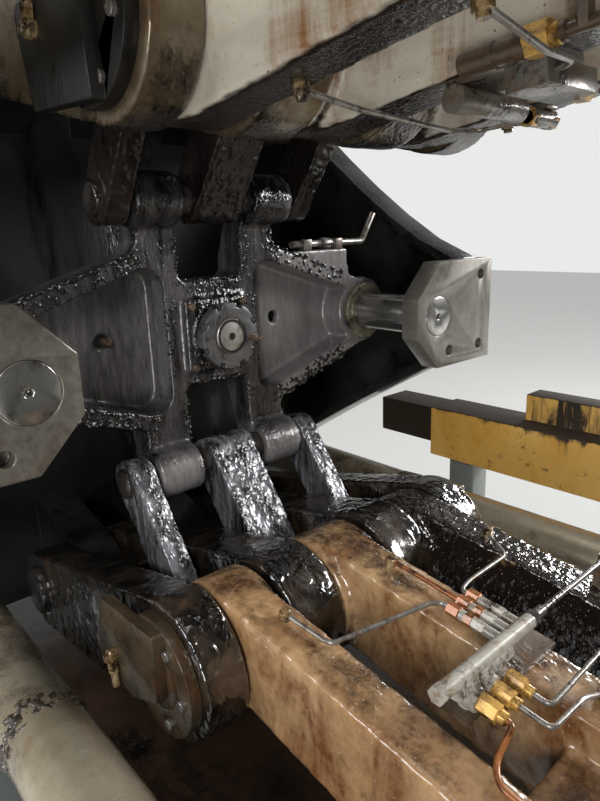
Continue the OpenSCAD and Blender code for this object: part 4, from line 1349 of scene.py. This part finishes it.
@dataclass
class Fasteners:
    """Bolt circles, lock screws and nuts that hold the standing pieces together."""

    platen_back: float = -800.0
    cylinder_end: float = -1540.0
    front: float = 1920.0
    bar_y: float = 452.0
    bar_z: float = 438.0
    bar_radius: float = 54.0
    nut: float = 90.0
    shot_z: float = -120.0
    foot_x: float = -750.0
    foot_step: float = 873.33
    foot_y: float = 480.0
    brackets: Span = (-120.0, 760.0)

    @staticmethod
    def circle(shape: Shape, centre: Point, way: float, radius: float, count: int, size: float,
               turn: float, hexes: bool = False) -> None:
        """Sets bolts on a circle round a point, facing along X.

        Args:
            shape: the mesh that they go into.
            centre: middle of the circle on the face, in machine millimetres.
            way: 1 if the face looks forward, -1 if it looks back.
            radius: the circle's radius in millimetres.
            count: number of bolts.
            size: width of a bolt's shank in metres.
            turn: angle of the first bolt in radians.
            hexes: hexagon nuts instead of socket heads.
        """
        put = Shop.hex_bolt if hexes else Shop.socket_bolt
        x, y, z = centre
        for k in range(count):
            t = turn + 2 * math.pi * k / count
            put(shape, at(x, y + radius * math.cos(t), z + radius * math.sin(t)),
                Vector((way, 0, 0)), size)

    def build(self) -> None:
        """Builds the fasteners of cylinder, tie bars, shot bore, feet and brackets."""
        body = Body.FRAME
        shape = bmesh.new()
        self.circle(shape, (self.platen_back - 60, 0, 0), -1, 155, 12, 0.014, 0.13)
        self.circle(shape, (self.cylinder_end + 61, 0, 0), 1, 146, 12, 0.009, 0.13, True)
        Shop.made(shape, "cylinder_bolts", BOLT, body)
        shape = bmesh.new()
        for y in (-self.bar_y, self.bar_y):
            for z in (-self.bar_z, self.bar_z):
                for x, way in ((self.platen_back - self.nut, -1), (self.front + self.nut, 1)):
                    self.circle(shape, (x, y, z), way, 69.5, 3, 0.009, 0.4)
        self.circle(shape, (self.front, 0, self.shot_z), 1, 84, 8, 0.011, 0.39)
        Shop.made(shape, "lock_screws", BOLT, body)
        shape = bmesh.new()
        for i in range(4):
            for y in (-self.foot_y, self.foot_y):
                Shop.prism(shape, at(self.foot_x + i * self.foot_step, y, -968), UP, 0.048,
                           0.024, 6, 0.002)
        for x in self.brackets:
            for dx in (18, 52):
                Shop.hex_bolt(shape, at(x + dx, 600, -650), UP, 0.011)
        Shop.made(shape, "foot_nuts", BOLT, body)
        ring = [(30, -self.bar_y + self.bar_radius * math.cos(t / 4),
                 -self.bar_z + self.bar_radius * math.sin(t / 4)) for t in range(26)]
        lines = [GreaseLine(ring, 3.0, (22, 1.5, 1.5), 0.8), GreaseLine(ring, 3.8, (8, 2, 2), 1.6)]
        Grease("bar_grease_ring", body, lines, 9, 2.0, BAR_GREASE).build()


@dataclass
class MovingPlaten:
    """The moving platen and its main pins."""

    platen_bevel: float = 6.0
    pin_bevel: float = 4.0

    def build(self) -> None:
        """Builds the moving platen's pieces."""
        Shop.machined("moving_platen", "moving_platen_body", MOVING_PAINT, Body.PLATEN,
                      self.platen_bevel)
        Shop.machined("front_main_pins", "front_pins", PIN_FACE, Body.PLATEN, self.pin_bevel)


@dataclass(frozen=True)
class PhotoView:
    """The camera that took the photograph, solved from its vanishing lines."""

    place: Point = (755.4, -633.2, 176.1)
    yaw: float = 0.7172
    pitch: float = 0.2654
    roll: float = 0.0355
    focal_px: float = 627.3
    width_px: int = 600
    sensor_mm: float = 36.0
    clip: Span = (0.02, 60.0)

    def make(self) -> None:
        """Builds the camera and makes it the scene's own."""
        ahead = Vector((-math.cos(self.yaw) * math.cos(self.pitch),
                        math.sin(self.yaw) * math.cos(self.pitch), -math.sin(self.pitch)))
        right = ahead.cross(UP).normalized()
        down = ahead.cross(right)
        right_r = math.cos(self.roll) * right + math.sin(self.roll) * down
        down_r = -math.sin(self.roll) * right + math.cos(self.roll) * down
        turn = Matrix((right_r, -down_r, -ahead)).transposed()
        data = bpy.data.cameras.new("photo_camera")
        data.sensor_fit = "HORIZONTAL"
        data.sensor_width = self.sensor_mm
        data.lens = self.focal_px * self.sensor_mm / self.width_px
        data.clip_start, data.clip_end = self.clip
        cam = bpy.data.objects.new("photo_camera", data)
        bpy.context.scene.collection.objects.link(cam)
        cam.matrix_world = Matrix.Translation(at(*self.place)) @ turn.to_4x4()
        bpy.context.scene.camera = cam


@dataclass
class Studio:
    """A plain pale floor, a pale surround and soft lamps."""

    floor_colour: RGB = (0.62, 0.62, 0.605)
    floor_size: float = 14.0
    floor_rough: float = 0.75
    floor_mottle: float = 0.94
    floor_level: float = 1.12
    floor_share: float = 0.6
    sky: RGB = (0.86, 0.87, 0.86)
    sky_strength: float = 0.25
    sky_seen: float = 0.95
    lamps: list[tuple[str, Point, Point, float, float]] = field(default_factory=lambda: [
        ("key", (3.6, -4.6, 3.7), (-0.2, 0.0, 0.9), 2.0, 300.0),
        ("side", (-1.5, -5.2, 2.9), (-0.3, 0.0, 0.9), 1.6, 110.0),
        ("far", (2.6, 5.2, 3.1), (0.0, 0.0, 0.9), 2.0, 380.0),
        ("low", (2.2, -2.3, 0.45), (0.1, 0.0, 1.3), 0.9, 34.0),
        ("rim", (-0.35, 3.8, 2.5), (0.1, 0.0, 0.7), 0.85, 75.0),
        ("top", (-0.5, 0.0, 5.6), (0.0, 0.0, 1.0), 3.0, 60.0)])

    def floor(self) -> None:
        """Lays the pale floor."""
        sheet = NodeSheet("pale_floor")
        tone = sheet.spread(sheet.noise(1.3, 6, 0.6), 0.3, 0.7)
        dull = tuple(c * self.floor_mottle for c in self.floor_colour)
        sheet.put(sheet.shader, {"Base Color": sheet.blend(tone, dull, self.floor_colour),
                                 "Roughness": self.floor_rough})
        self.even(sheet)
        mesh = bpy.data.meshes.new("floor")
        shape = bmesh.new()
        bmesh.ops.create_grid(shape, x_segments=2, y_segments=2, size=self.floor_size)
        shape.to_mesh(mesh)
        shape.free()
        mesh.materials.append(sheet.material)
        piece = bpy.data.objects.new("floor", mesh)
        bpy.context.scene.collection.objects.link(piece)

    def even(self, sheet: NodeSheet) -> None:
        """Keeps the floor a pale backdrop to the camera; it lights nothing by that.

        Args:
            sheet: the floor's node sheet.
        """
        pale = sheet.node("ShaderNodeEmission", {"Color": self.floor_colour,
                                                 "Strength": self.floor_level})
        seen = sheet.node("ShaderNodeLightPath").outputs["Is Camera Ray"]
        both = sheet.node("ShaderNodeMixShader", {0: sheet.times(seen, self.floor_share),
                                                  1: sheet.shader.outputs[0], 2: pale.outputs[0]})
        sheet.put(sheet.tree.nodes["Material Output"], {"Surface": both.outputs[0]})

    def surround(self) -> None:
        """Makes the pale world, with a plain level of light."""
        world = bpy.data.worlds.new("pale_surround")
        world.use_nodes = True
        tree = world.node_tree
        shade = tree.nodes["Background"]
        shade.inputs[0].default_value = (*self.sky, 1.0)
        path = tree.nodes.new("ShaderNodeLightPath")
        level = tree.nodes.new("ShaderNodeMapRange")
        level.inputs["To Min"].default_value = self.sky_strength
        level.inputs["To Max"].default_value = self.sky_seen
        tree.links.new(path.outputs["Is Camera Ray"], level.inputs["Value"])
        tree.links.new(level.outputs[0], shade.inputs[1])
        bpy.context.scene.world = world

    def build(self) -> None:
        """Sets up floor, surround and lamps."""
        self.floor()
        self.surround()
        for name, place, aim, size, power in self.lamps:
            data = bpy.data.lights.new(name, "AREA")
            data.size = size
            data.energy = power
            lamp = bpy.data.objects.new(name, data)
            lamp.location = place
            way = Vector(aim) - Vector(place)
            lamp.rotation_euler = way.to_track_quat("-Z", "Y").to_euler()
            bpy.context.scene.collection.objects.link(lamp)
        bpy.context.scene.view_settings.view_transform = "Standard"


def main() -> None:
    """Builds every sub-assembly in order."""
    logging.basicConfig(level=logging.INFO, format="%(message)s")
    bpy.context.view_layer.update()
    PhotoView().make()
    Studio().build()
    FixedFrame().build()
    Fasteners().build()
    Crosshead().build()
    for upper in (True, False):
        SmallLinks(upper).build()
        RearLink(upper).build()
        FrontLink(upper).build()
        OilLines(upper).build()
    MovingPlaten().build()
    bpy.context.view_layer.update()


if __name__ == "__main__":
    main()
